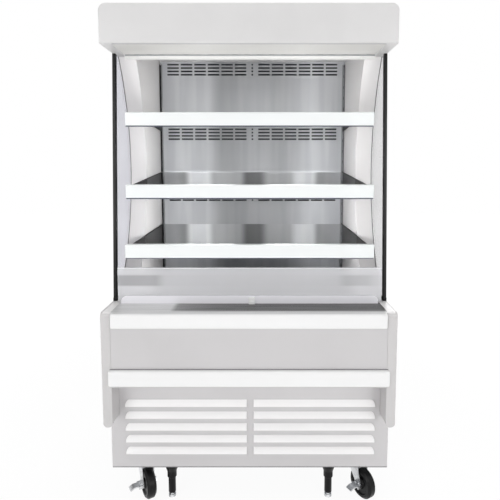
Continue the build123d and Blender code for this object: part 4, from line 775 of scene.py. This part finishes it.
class Bench:
    """Moves of the modelling bench, each one a few Blender operators."""

    SHARP = math.radians(35.0)
    FLAT = math.radians(0.5)
    ROUNDED_CREASE = math.radians(40.0)
    SPUN_CREASE = math.radians(30.0)
    WELD = 0.01 * MM
    ROUND = 20
    HEXAGON = 6

    @staticmethod
    def clear() -> None:
        """Leave edit mode and deselect everything."""
        if bpy.context.object and bpy.context.object.mode != "OBJECT":
            bpy.ops.object.mode_set(mode="OBJECT")
        bpy.ops.object.select_all(action="DESELECT")

    @staticmethod
    def hold(piece: Piece) -> None:
        """Make the piece the only selected and active one."""
        Bench.clear()
        piece.select_set(True)
        bpy.context.view_layer.objects.active = piece

    @staticmethod
    def apply_all(piece: Piece) -> Piece:
        """Apply the piece's modifiers in order."""
        Bench.hold(piece)
        for modifier in list(piece.modifiers):
            bpy.ops.object.modifier_apply(modifier=modifier.name)
        return piece

    @staticmethod
    def smooth(piece: Piece, crease: float) -> Piece:
        """Shade the piece smooth across edges flatter than the crease's angle."""
        Bench.hold(piece)
        bpy.ops.object.shade_smooth_by_angle(angle=crease)
        return piece

    @staticmethod
    def round_edges(piece: Piece, width: float, segments: int = 2) -> Piece:
        """Round the piece's sharp edges and even out its shading.

        Args:
            piece: The mesh object.
            width: Width of the rounding in millimetres.
            segments: Facets across the rounding.

        Returns:
            The same piece.
        """
        bevel = piece.modifiers.new("rounding", "BEVEL")
        bevel.width = width * MM
        bevel.segments = segments
        bevel.limit_method = "ANGLE"
        bevel.angle_limit = Bench.SHARP
        Bench.apply_all(piece)
        Bench.smooth(piece, Bench.ROUNDED_CREASE)
        piece.modifiers.new("even_shading", "WEIGHTED_NORMAL").keep_sharp = True
        return Bench.apply_all(piece)

    @staticmethod
    def block(name: str, low: Point, high: Point, rounding: float, segments: int = 2) -> Piece:
        """A block between two corners in millimetres, with rounded edges.

        Args:
            name: Name of the piece.
            low: Lowest corner.
            high: Highest corner.
            rounding: Width of the edges' rounding.
            segments: Facets across the rounding.

        Returns:
            The piece, with its place in its mesh.
        """
        Bench.clear()
        middle = [(a + b) / 2 * MM for a, b in zip(low, high)]
        size = [(b - a) * MM for a, b in zip(low, high)]
        bpy.ops.mesh.primitive_cube_add(size=1.0, location=middle, scale=size)
        piece = bpy.context.object
        piece.name = name
        bpy.ops.object.transform_apply(location=True, rotation=True, scale=True)
        return Bench.round_edges(piece, rounding, segments)

    @staticmethod
    def spun(
        name: str, profile: tuple[Spot, ...], frame: Matrix, steps: int, angle: float = math.tau
    ) -> Piece:
        """A turned piece, from a closed profile spun about an axis.

        Args:
            name: Name of the piece.
            profile: Radius and height of each corner in millimetres, in order round the profile.
            frame: Place and turn of the axis, which is the frame's Z.
            steps: Facets round the axis.
            angle: How far round the axis it goes. Short of a full turn, its ends are closed.

        Returns:
            The piece, with its place in its mesh.
        """
        Bench.clear()
        fill = "NOTHING" if angle == math.tau else "NGON"
        bpy.ops.mesh.primitive_circle_add(vertices=len(profile), radius=1.0, fill_type=fill)
        piece = bpy.context.object
        piece.name = name
        for vertex, (radius, height) in zip(piece.data.vertices, profile):
            vertex.co = (radius * MM, 0.0, height * MM)
        bpy.ops.object.mode_set(mode="EDIT")
        bpy.ops.mesh.select_all(action="SELECT")
        bpy.ops.mesh.spin(steps=steps, angle=angle, center=(0, 0, 0), axis=(0, 0, 1))
        bpy.ops.mesh.select_all(action="SELECT")
        bpy.ops.mesh.remove_doubles(threshold=Bench.WELD)
        bpy.ops.mesh.dissolve_degenerate(threshold=Bench.WELD)
        bpy.ops.mesh.select_all(action="SELECT")
        bpy.ops.mesh.normals_make_consistent(inside=False)
        bpy.ops.object.mode_set(mode="OBJECT")
        piece.data.transform(frame)
        return Bench.smooth(piece, Bench.SPUN_CREASE)

    @staticmethod
    def joined(name: str, pieces: list[Piece]) -> Piece:
        """Several meshes as one piece."""
        Bench.hold(pieces[0])
        for piece in pieces:
            piece.select_set(True)
        bpy.ops.object.join()
        pieces[0].name = name
        return pieces[0]

    @staticmethod
    def copied(piece: Piece, name: str, place: Matrix) -> Piece:
        """A copy of the piece with its own mesh, moved by a matrix."""
        twin = piece.copy()
        twin.data = piece.data.copy()
        twin.name = name
        bpy.context.scene.collection.objects.link(twin)
        twin.data.transform(place)
        return twin

    @staticmethod
    def repeated(name: str, first: Piece, places: list[Matrix]) -> Piece:
        """Copies of a mesh at several places as one piece, without the first."""
        twins = [Bench.copied(first, f"{name}_{turn}", place) for turn, place in enumerate(places)]
        bpy.data.objects.remove(first)
        return Bench.joined(name, twins)


# ---------------------------------------------------------------- sub-assemblies


@dataclass(frozen=True)
class Skin:
    """How a node of the frame is finished.

    Attributes:
        node: Name of the node.
        finish: The finish it gets.
        edge: Rounding of its edges in millimetres. With 0 the node itself is kept.
    """

    node: str
    finish: Finish
    edge: float = 0.0


LOW, HIGH, ZERO = range(3)
Reach = tuple[tuple[int, float], tuple[int, float]]


@dataclass(frozen=True)
class Strip:
    """A rounded block that rides with a node and is set against a box.

    Both ends of a reach say what they are measured from, the box's LOW or HIGH corner or the
    ZERO of the axis, and how many millimetres from there they lie.

    Attributes:
        name: Name of the piece.
        node: The node that it rides with.
        finish: The finish it gets.
        x: Its reach from left to right.
        y: Its reach from front to back.
        z: Its reach from foot to top.
        rounding: Width of its edges' rounding.
        segments: Facets across the rounding.
        against: The node whose box it is set against, where that is another one.
    """

    name: str
    node: str
    finish: Finish
    x: Reach
    y: Reach
    z: Reach
    rounding: float = 0.4
    segments: int = 2
    against: str = ""

    def made(self) -> Piece:
        """The block, in its place."""
        origins = (*box_mm(self.against or self.node), (0.0, 0.0, 0.0))
        low, high = (
            [origins[source][axis] + by for axis, (source, by) in enumerate(ends)]
            for ends in zip(self.x, self.y, self.z)
        )
        return Bench.block(self.name, low, high, self.rounding, self.segments)


def both_ends(left: Strip, **changes: Finish) -> tuple[Strip, Strip]:
    """A strip at the left end of its box, and its mirror image at the right end."""
    x = tuple((HIGH, -by) for _, by in reversed(left.x))
    return left, replace(left, name=left.name.replace("left", "right"), x=x, **changes)


Skins = tuple[Skin, ...]
Strips = tuple[Strip, ...]
INSIDE: Reach = ((LOW, 1.0), (HIGH, -1.0))
BEHIND: Reach = ((HIGH, -3.0), (HIGH, -0.1))


@dataclass
class SubAssembly:
    """One sub-assembly: nodes that get a finish, strips, and further pieces made for it."""

    frame: dict
    skins: Skins = ()
    strips: Strips = ()

    def details(self) -> list[Piece]:
        """Make the further pieces that aren't strips."""
        return []

    def slot_of(self, node: str) -> str:
        """The record's material slot of a node."""
        rows = self.frame["record"]["subparts"]
        return next(row["material_slot"] for row in rows if row["node"] == node)

    def body_of(self, node: str) -> str:
        """The body that a node rides on."""
        return self.frame["nodes"][node]["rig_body"]

    def formed(self, skin: Skin) -> Piece:
        """A node's form with its facets merged and its edges rounded, in the node's place."""
        node = self.frame["nodes"][skin.node]
        piece = Bench.copied(node, f"{skin.node}_formed", Matrix.Identity(4))
        piece.parent = None
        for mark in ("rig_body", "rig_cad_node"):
            del piece[mark]
        Bench.hold(piece)
        bpy.ops.object.mode_set(mode="EDIT")
        bpy.ops.mesh.select_all(action="SELECT")
        bpy.ops.mesh.customdata_custom_splitnormals_clear()
        bpy.ops.mesh.remove_doubles(threshold=Bench.WELD / 2)
        bpy.ops.mesh.dissolve_limited(angle_limit=Bench.FLAT)
        bpy.ops.object.mode_set(mode="OBJECT")
        Bench.round_edges(piece, skin.edge)
        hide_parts(skin.node)
        return self.added(piece, skin.finish, skin.node)

    def added(self, piece: Piece, finish: Finish, node: str) -> Piece:
        """Finish a piece that rides with a node."""
        finish.dress(piece)
        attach(piece, self.body_of(node))
        return piece

    def build(self) -> None:
        """Finish the nodes and make the further pieces, and report each one."""
        made = []
        for skin in self.skins:
            if skin.edge:
                made.append(self.formed(skin))
            else:
                node = self.frame["nodes"][skin.node]
                skin.finish.dress(node)
                self.slot_of(skin.node)
                made.append(node)
        made += [self.added(strip.made(), strip.finish, strip.node) for strip in self.strips]
        for piece in (*made, *self.details()):
            LOG.info("%s: %s, %d faces", type(self).__name__, piece.name, len(piece.data.polygons))


@dataclass
class Cabinet(SubAssembly):
    """Foamed end walls, rear wall, roof and base tub, with screws at the rear."""

    skins: Skins = (
        Skin("end_wall_left", WALL_ENAMEL, 1.5),
        Skin("end_wall_right", WALL_ENAMEL, 1.5),
        Skin("rear_wall", REAR_ENAMEL, 1.5),
        Skin("roof_panel", CANOPY_ENAMEL, 1.5),
        Skin("base_tub", GALVANISED),
    )
    screw_places: tuple[Spot, ...] = (
        *[(415.0, 470.0 + 184.0 * row) for row in range(7)],
        *[(200.0, z) for z in (470.0, 1574.0)],
        *[(415.0, z) for z in (145.0, 282.0, 420.0)],
    )
    screw_profile: tuple[Spot, ...] = ((0, -0.2), (4.4, -0.2), (4.4, 0.7), (3.4, 1.7), (0, 2.1))

    def details(self) -> list[Piece]:
        """Screws round the rear wall and the rear grille."""
        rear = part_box("rear_wall")[1][1]
        turn = Matrix.Rotation(-math.pi / 2, 4, "X")
        first = Bench.spun("rear_screw", self.screw_profile, Matrix.Identity(4), Bench.ROUND)
        places = [
            Matrix.Translation((side * x * MM, rear, z * MM)) @ turn
            for side, (x, z) in product((-1, 1), self.screw_places)
        ]
        return [self.added(Bench.repeated("rear_screws", first, places), SCREW_ZINC, "rear_wall")]


@dataclass
class Canopy(SubAssembly):
    """Hood with its soffit, the air curtain's honeycomb and screen, ceiling and light strip."""

    skins: Skins = (
        Skin("canopy_shell", CANOPY_ENAMEL, 0.8),
        Skin("canopy_soffit", SOFFIT_ENAMEL, 0.5),
        Skin("air_honeycomb", CELL_WHITE),
        Skin("ceiling_liner", LINER_ENAMEL, 0.5),
        Skin("lamp_diffuser", LAMP_OPAL),
    )
    strips: Strips = (
        *both_ends(
            Strip(
                "lamp_rail_left",
                "ceiling_liner",
                LAMP_OPAL,
                x=((LOW, -52.0), (LOW, -0.4)),
                y=INSIDE,
                z=((LOW, 0.6), (HIGH, 0.0)),
                rounding=0.8,
                against="lamp_diffuser",
            )
        ),
        Strip(
            "discharge_screen",
            "air_honeycomb",
            CELL_WHITE,
            x=INSIDE,
            y=INSIDE,
            z=((LOW, 0.5), (LOW, 1.7)),
        ),
    )
    # Painted shadow gap: a grey strip round the soffit and honeycomb edges, with its sizes.
    gasket_z: Spot = (-1.6, 0.4)
    gasket_w: float = 5.0
    gasket_end: float = 3.0
    gasket_lap: float = 1.0
    gasket_round: float = 0.4

    def details(self) -> list[Piece]:
        """Grey strip under the edges of the soffit and the honeycomb, a painted shadow gap."""
        (_, near, foot), (half, _, _) = box_mm("canopy_soffit")
        near, far = near + self.gasket_w, box_mm("air_honeycomb")[1][1]
        over = far + self.gasket_lap
        low, high = (foot + rise for rise in self.gasket_z)
        runs = (
            ((-half, near, low), (half, near + self.gasket_w, high)),
            ((-half, over - self.gasket_w, low), (half, over, high)),
            ((-half, near, low), (self.gasket_end - half, far, high)),
            ((half - self.gasket_end, near, low), (half, far, high)),
        )
        strips = [
            Bench.block(f"gasket_run_{number}", *run, self.gasket_round)
            for number, run in enumerate(runs)
        ]
        return [self.added(Bench.joined("curtain_gasket", strips), SHADOW_LINE_GREY, "canopy_soffit")]


@dataclass
class BackWall(SubAssembly):
    """Slotted steel back of the display, and the standards with painted shade behind their slots: a
    dark strip, black at the left and grey at the right.
    """

    skins: Skins = (Skin("back_duct_panel", BACK_STEEL), Skin("shelf_standards", STANDARD_STEEL))
    # Painted shade: dark strips inside the standards, black at the left and grey at the right.
    strips: Strips = both_ends(
        Strip(
            "standard_seal_left",
            "shelf_standards",
            TRIM_BLACK,
            x=((LOW, 1.4), (LOW, 8.6)),
            y=((HIGH, -3.0), (HIGH, -0.2)),
            z=INSIDE,
            rounding=0.5,
        ),
        finish=SHADOW_GAP_GREY,
    )


@dataclass
class Shelf(SubAssembly):
    """One shelf: a mirror pan on two black arms, with a white ticket rail and a grey strip under it
    that paints its shadow line.
    """

    level: str = "lower"

    def __post_init__(self) -> None:
        """Name this level's nodes and its painted shadow line."""
        rail = f"price_rail_{self.level}"
        self.skins = (
            Skin(f"shelf_pan_{self.level}", SHELF_STEEL, 0.4),
            Skin(f"shelf_brackets_{self.level}", BRACKET_BLACK, 0.4),
            Skin(rail, RAIL_WHITE, 0.5),
        )
        # Painted shadow: a dark grey strip along the underside of the ticket rail.
        shadow_line = {"y": ((LOW, 2.5), (LOW, 9.0)), "z": ((LOW, -2.6), (LOW, 1.2))}
        name = f"rail_bead_{self.level}"
        self.strips = (Strip(name, rail, SHADOW_LINE_GREY, INSIDE, rounding=0.8, **shadow_line),)


@dataclass
class Well(SubAssembly):
    """Deck, return-air grille and sill, with what works under the deck."""

    skins: Skins = (
        Skin("deck_pan", DECK_STEEL, 0.4),
        Skin("return_grille", DECK_STEEL),
        Skin("sill_cap", SILL_STEEL, 0.6),
        Skin("evaporator_coil", COIL_ALUMINIUM),
        Skin("evap_fan_plate", GALVANISED),
        Skin("evap_fan_left", FAN_BLACK),
        Skin("evap_fan_right", FAN_BLACK),
    )


@dataclass
class Glazing(SubAssembly):
    """Clear side panes with black trims and boots, and the clear guard on its rail."""

    skins: Skins = (
        Skin("side_pane_left", PANE_LEFT, 0.5),
        Skin("side_pane_right", PANE_RIGHT, 0.5),
        Skin("pane_trims", TRIM_BLACK, 1.5),
        Skin("front_guard", GUARD_CLEAR, 0.8),
        Skin("guard_rail", RAIL_CLEAR, 0.8),
        Skin("guard_catch", CATCH_WHITE, 0.8),
    )
    strips: Strips = (
        *both_ends(
            Strip(
                "trim_boot_left",
                "pane_trims",
                TRIM_BLACK,
                x=((LOW, 0.0), (LOW, 15.0)),
                y=((LOW, -3.0), (LOW, 22.0)),
                z=((LOW, 0.0), (LOW, 12.0)),
                rounding=2.0,
                segments=3,
            )
        ),
        # Painted highlight: a white strip on the guard's top edge.
        Strip(
            "guard_edge_highlight",
            "front_guard",
            EDGE_HIGHLIGHT_WHITE,
            x=((LOW, 0.0), (HIGH, 0.0)),
            y=((LOW, -0.6), (HIGH, 0.6)),
            z=((HIGH, -1.2), (HIGH, 1.6)),
            rounding=1.0,
            segments=3,
        ),
    )
    edge_arc: tuple[Spot, Spot, Spot] = ((-178.0, 678.0), (0.0, 1130.0), (-119.0, 1505.0))
    # Painted shadow line: grey strips where the panes enter the hollowed edges, with their sizes.
    gasket_r: float = 1.5
    gasket_sunk: float = 0.6
    gasket_sides: int = 8
    gasket_steps: int = 32
    gasket_x: float = 453.0

    def details(self) -> list[Piece]:
        """Grey strips where the panes enter the hollowed edges of the end walls, painting the
        shadow line there.
        """
        (mid_y, mid_z), radius = circle_through(*self.edge_arc)
        start, end = (math.atan2(z - mid_z, y - mid_y) % math.tau for y, z in self.edge_arc[::2])
        turn = (end - start + math.pi) % math.tau - math.pi
        middle, r = radius - self.gasket_sunk, self.gasket_r
        turns = [number * math.tau / self.gasket_sides for number in range(self.gasket_sides)]
        ring = [(middle + r * math.cos(at), r * math.sin(at)) for at in turns]
        cos, sin = math.cos(start), math.sin(start)
        plane = Matrix(((0, 0, 1), (cos, -sin, 0), (sin, cos, 0))).to_4x4()
        pieces = []
        for side, hand in HANDS:
            place = Matrix.Translation((side * self.gasket_x * MM, mid_y * MM, mid_z * MM))
            path = (place @ plane, self.gasket_steps, -turn)
            shadow_gap = Bench.spun(f"pane_gasket_{hand}", ring, *path)
            pieces.append(self.added(shadow_gap, SHADOW_GAP_GREY, f"end_wall_{hand}"))
        return pieces


@dataclass
class BaseFront(SubAssembly):
    """Grey front panel with white bumpers, the louvred panel with painted light on its hoods, and
    thin grey strips that paint the shadow gaps at their edges.
    """

    skins: Skins = (
        Skin("front_panel", FRONT_ENAMEL, 0.6),
        Skin("bumper_upper", BUMPER_WHITE, 0.6),
        Skin("bumper_lower", BUMPER_WHITE, 0.6),
        Skin("louvre_panel", LOUVRE_ENAMEL, 0.5),
    )
    # Painted shadow gaps: thin grey strips under and over the bumpers and at the louvred panel's
    # foot.
    strips: Strips = (
        *[
            Strip(f"{node}_{edge}_gasket", node, SHADOW_GAP_GREY, ((LOW, 1.5), (HIGH, -1.5)), BEHIND, z)
            for node, edge, z in (
                ("bumper_lower", "under", ((LOW, -1.6), (LOW, 0.4))),
                ("bumper_lower", "upper", ((HIGH, -0.4), (HIGH, 1.6))),
                ("bumper_upper", "under", ((LOW, -1.6), (LOW, 0.4))),
            )
        ],
        Strip(
            "louvre_panel_foot",
            "louvre_panel",
            SHADOW_GAP_GREY,
            x=((LOW, 0.5), (HIGH, -0.5)),
            y=((ZERO, -279.0), (ZERO, -277.0)),
            z=((LOW, -0.6), (LOW, 1.6)),
        ),
    )


@dataclass
class MachineRoom(SubAssembly):
    """Chassis tray with the refrigeration set, and the vented rear cover."""

    skins: Skins = (
        Skin("chassis_tray", GALVANISED, 0.5),
        Skin("rear_grille", FRONT_ENAMEL),
        Skin("compressor", MACHINE_BLACK, 0.6),
        Skin("condenser_coil", COIL_ALUMINIUM),
        Skin("condenser_shroud", GALVANISED),
        Skin("condenser_fan", FAN_BLACK),
        Skin("drain_pan", FAN_BLACK, 0.6),
        Skin("control_box", GALVANISED, 0.6),
    )


@dataclass
class Running(SubAssembly):
    """Swivel casters, two of them braked, and the two levelling legs."""

    skins: Skins = (
        Skin("caster_plates", ZINC),
        *[
            Skin(f"caster_{part}_{end}_{hand}", finish, edge)
            for part, finish, edge in (("fork", ZINC, 0.6), ("wheel", TYRE_BLACK, 0.8))
            for end in ("front", "rear")
            for _, hand in HANDS
        ],
        *[Skin(f"brake_lever_{hand}", ZINC, 0.5) for _, hand in HANDS],
        Skin("leg_sleeves", LEG_BLACK, 0.6),
        *[Skin(f"leg_foot_{hand}", CHROME, 0.3) for _, hand in HANDS],
    )
    plate_l: float = 96.0
    plate_w: float = 76.0
    plate_t: float = 4.0
    hole_inset: float = 11.0
    washer: tuple[Spot, ...] = ((0, 0.2), (6.2, 0.2), (6.2, -1.0), (0, -1.0))
    bolt: tuple[Spot, ...] = ((0, -0.8), (5.2, -0.8), (5.2, -3.6), (4.4, -4.2), (0, -4.2))
    ridge_z: Spot = (1.6, 11.3)
    ridge_sunk: float = 1.0
    ridge_count: int = 4
    ridge_pitch: float = 2.4
    ridge: tuple[Spot, ...] = ((0.1, 0.0), (0.9, 0.6), (0.9, 1.5), (0.1, 2.1))

    def details(self) -> list[Piece]:
        """Bolts of the caster plates, and ridged sleeves round the chrome feet."""
        return [self.bolts(), *[self.ridges(hand) for _, hand in HANDS]]

    def bolts(self) -> Piece:
        """Washered hexagon heads at the plates' slots."""
        washer = Bench.spun("washer", self.washer, Matrix.Identity(4), Bench.ROUND)
        head = Bench.spun("bolt", self.bolt, Matrix.Identity(4), Bench.HEXAGON)
        first = Bench.joined("caster_bolt", [washer, head])
        low, high = box_mm("caster_plates")
        under = box_mm("chassis_tray")[0][2] - self.plate_t
        across, along = self.plate_w / 2, self.plate_l / 2
        places = []
        for end, side, right, back in product((-1, 1), repeat=4):
            x = side * (high[0] - across) + right * (across - self.hole_inset)
            y = (low[1] if end < 0 else high[1]) - end * along + back * (along - self.hole_inset)
            places.append(Matrix.Translation((x * MM, y * MM, under * MM)))
        bolts = Bench.repeated("caster_bolts", first, places)
        return self.added(bolts, SCREW_ZINC, "caster_plates")

    def ridges(self, hand: str) -> Piece:
        """Ridged ring round one foot."""
        node = f"leg_foot_{hand}"
        low, high = box_mm(node)
        reach = (high[0] - low[0]) / 2
        foot, top = (low[2] + rise for rise in self.ridge_z)
        rows = [foot + self.ridge_pitch * number for number in range(self.ridge_count)]
        profile = [
            (reach - self.ridge_sunk, foot),
            *[(reach + out, row + up) for row in rows for out, up in self.ridge],
            (reach - self.ridge_sunk, top),
        ]
        x, y = ((a + b) / 2 * MM for a, b in zip(low[:2], high[:2]))
        middle = Matrix.Translation((x, y, 0.0))
        ring = Bench.spun(f"foot_ridges_{hand}", profile, middle, 2 * Bench.ROUND)
        return self.added(ring, CHROME, node)


# ---------------------------------------------------------------- stage


@dataclass(frozen=True)
class SoftBox:
    """An area light that faces a point, in metres.

    Attributes:
        name: Name of the light.
        place: Where it hangs.
        aim: The point that it faces.
        size: Width and height of its face.
        power: Its power in watts.
    """

    SHOWN_FROM: ClassVar[float] = 1.0

    name: str
    place: Point
    aim: Point
    size: Spot
    power: float

    def hang(self) -> None:
        """Hang the light. Only the large ones show, and those only in gloss."""
        Bench.clear()
        turn = (Vector(self.aim) - Vector(self.place)).to_track_quat("-Z", "Y").to_euler()
        bpy.ops.object.light_add(type="AREA", location=self.place, rotation=turn)
        light = bpy.context.object
        light.name = self.name
        light.data.shape = "RECTANGLE"
        light.data.size, light.data.size_y = self.size
        light.data.energy = self.power
        light.visible_camera = light.visible_transmission = False
        light.visible_glossy = min(self.size) > self.SHOWN_FROM


@dataclass(frozen=True)
class Bay:
    """A space between two shelves, with an upright strip light at either side, in metres.

    Attributes:
        low: Foot of the strips.
        high: Top of the strips.
        power: Power of each strip in watts.
        aside: How far from the middle they hang.
        deep: How far back they hang.
        lean: How far they turn to the back over the reach of their aim.
    """

    WIDTH: ClassVar[float] = 0.05
    REACH: ClassVar[float] = 0.4

    low: float
    high: float
    power: float
    aside: float
    deep: float
    lean: float

    def strips(self, number: int) -> list[SoftBox]:
        """The bay's two lights, each facing its own wall."""
        middle = (self.low + self.high) / 2
        return [
            SoftBox(
                f"bay_light_{number}_{hand}",
                (side * self.aside, self.deep, middle),
                (side * (self.aside + self.REACH), self.deep + self.lean, middle),
                (self.WIDTH, self.high - self.low),
                self.power,
            )
            for side, hand in HANDS
        ]


@dataclass
class Studio:
    """Pale floor, soft lights, white surroundings and the camera."""

    ambient: float = 0.42
    gloss_rise: tuple[Spot, Spot] = ((-0.3, 0.7), (0.45, 1.0))
    floor_size: float = 18.0
    floor_grey: float = 0.9
    floor_roughness: float = 0.9
    floor_gloss: float = 0.1
    floor_glow: float = 1.03
    floor_fade: tuple[Spot, Spot] = ((0.9, 2.8), (0.9, 1.0))
    camera_at: Point = (0.038, -1.7054, 1.1234)
    camera_pitch: float = 85.0
    lens: float = 32.4
    sensor: float = 36.0
    shift: Spot = (-0.0224, -0.085)
    soft_boxes: tuple[SoftBox, ...] = (
        SoftBox("key_light", (-2.2, -3.6, 1.6), (0.0, 0.0, 0.9), (2.0, 1.8), 33.5),
        SoftBox("fill_light", (2.2, -3.6, 1.5), (0.0, 0.0, 0.8), (2.0, 1.8), 31.5),
        SoftBox("top_light", (0.0, -0.8, 4.2), (0.0, -0.2, 0.8), (2.6, 2.0), 23.0),
        SoftBox("low_light", (0.0, -2.6, 0.25), (0.0, -0.2, 1.3), (2.6, 0.4), 7.0),
        SoftBox("side_light_left", (-3.2, 0.4, 1.3), (0.0, 0.2, 0.9), (1.8, 1.8), 13.0),
        SoftBox("side_light_right", (3.2, 0.4, 1.3), (0.0, 0.2, 0.9), (1.8, 1.8), 13.0),
        SoftBox("rear_light", (1.6, 3.8, 2.4), (0.0, 0.0, 0.9), (2.4, 1.8), 40.0),
        SoftBox("soffit_light", (0.0, -0.23, 1.33), (0.0, -0.24, 1.5), (0.8, 0.03), 0.3),
    )
    bays: tuple[Bay, ...] = (
        Bay(0.66, 0.80, 0.3, 0.2, -0.1, 0.12),
        Bay(0.90, 1.01, 1.5, 0.02, -0.15, 0.08),
        Bay(1.13, 1.25, 1.22, 0.02, -0.15, 0.12),
        Bay(1.33, 1.43, 0.35, 0.02, 0.0, 0.12),
    )

    def lay_floor(self) -> None:
        """Floor that looks white to the camera and still takes a soft shadow."""
        Bench.clear()
        bpy.ops.mesh.primitive_plane_add(size=self.floor_size, location=(0.0, 0.0, 0.0))
        floor = bpy.context.object
        floor.name = "studio_floor"
        paper = bpy.data.materials.new("studio_paper")
        paper.use_nodes = True
        board = Board(paper)
        board.feed(
            Base_Color=(self.floor_grey,) * 3 + (1.0,),
            Roughness=self.floor_roughness,
            Specular_IOR_Level=self.floor_gloss,
        )
        white = board.node("Emission")
        white.inputs["Strength"].default_value = self.floor_glow
        away = board.node("VectorMath", operation="LENGTH")
        board.plug(away.inputs[0], board.place())
        faded = board.ranged(away.outputs["Value"], *self.floor_fade, "SMOOTHSTEP")
        share = board.math("MULTIPLY", self.seen(board, "Camera", "Transmission", "Glossy"), faded)
        mix = board.node("MixShader")
        for index, given in enumerate((share, board.shader.outputs[0], white.outputs[0])):
            board.plug(mix.inputs[index], given)
        board.plug(board.tree.nodes["Material Output"].inputs["Surface"], mix.outputs[0])
        floor.data.materials.append(paper)

    def seen(self, wiring: Wiring, *rays: str) -> Socket:
        """Whether a place is seen by any of these rays."""
        sight = wiring.node("LightPath").outputs
        known = sight[f"Is {rays[0]} Ray"]
        for ray in rays[1:]:
            known = wiring.math("MAXIMUM", known, sight[f"Is {ray} Ray"])
        return known

    def surround(self) -> None:
        """World that is white to the eye and through glass, and plain light elsewhere."""
        world = bpy.data.worlds.new("studio_world")
        bpy.context.scene.world = world
        world.use_nodes = True
        wiring = Wiring(world.node_tree)
        back = world.node_tree.nodes["Background"]
        back.inputs["Color"].default_value = (1.0, 1.0, 1.0, 1.0)
        risen = wiring.ranged(wiring.parts("Generated")["Z"], *self.gloss_rise)
        gloss = wiring.choose(self.seen(wiring, "Glossy"), self.ambient, risen)
        level = wiring.choose(self.seen(wiring, "Camera", "Transmission"), gloss, 1.0)
        wiring.plug(back.inputs["Strength"], level)

    def add_camera(self) -> None:
        """Camera at the height of the middle shelf, a little right of the cabinet's middle."""
        Bench.clear()
        turn = (math.radians(self.camera_pitch), 0.0, 0.0)
        bpy.ops.object.camera_add(location=self.camera_at, rotation=turn)
        camera = bpy.context.object
        camera.name = "studio_camera"
        camera.data.lens = self.lens
        camera.data.sensor_width = self.sensor
        camera.data.shift_x, camera.data.shift_y = self.shift
        bpy.context.scene.camera = camera

    def build(self) -> None:
        """Set up the whole stage."""
        self.lay_floor()
        self.surround()
        strips = [strip for number, bay in enumerate(self.bays) for strip in bay.strips(number)]
        for light in (*self.soft_boxes, *strips):
            light.hang()
        self.add_camera()
        bpy.context.scene.view_settings.view_transform = "Standard"


def main() -> None:
    """Load the frame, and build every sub-assembly and the stage."""
    logging.basicConfig(level=logging.INFO, format="%(name)s %(message)s")
    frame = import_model()
    Studio().build()
    groups: list[SubAssembly] = [
        Cabinet(frame),
        Canopy(frame),
        BackWall(frame),
        *[Shelf(frame, level=level) for level in ("lower", "middle", "upper")],
        Well(frame),
        Glazing(frame),
        BaseFront(frame),
        MachineRoom(frame),
        Running(frame),
    ]
    for group in groups:
        group.build()
    Bench.clear()


if __name__ == "__main__":
    main()
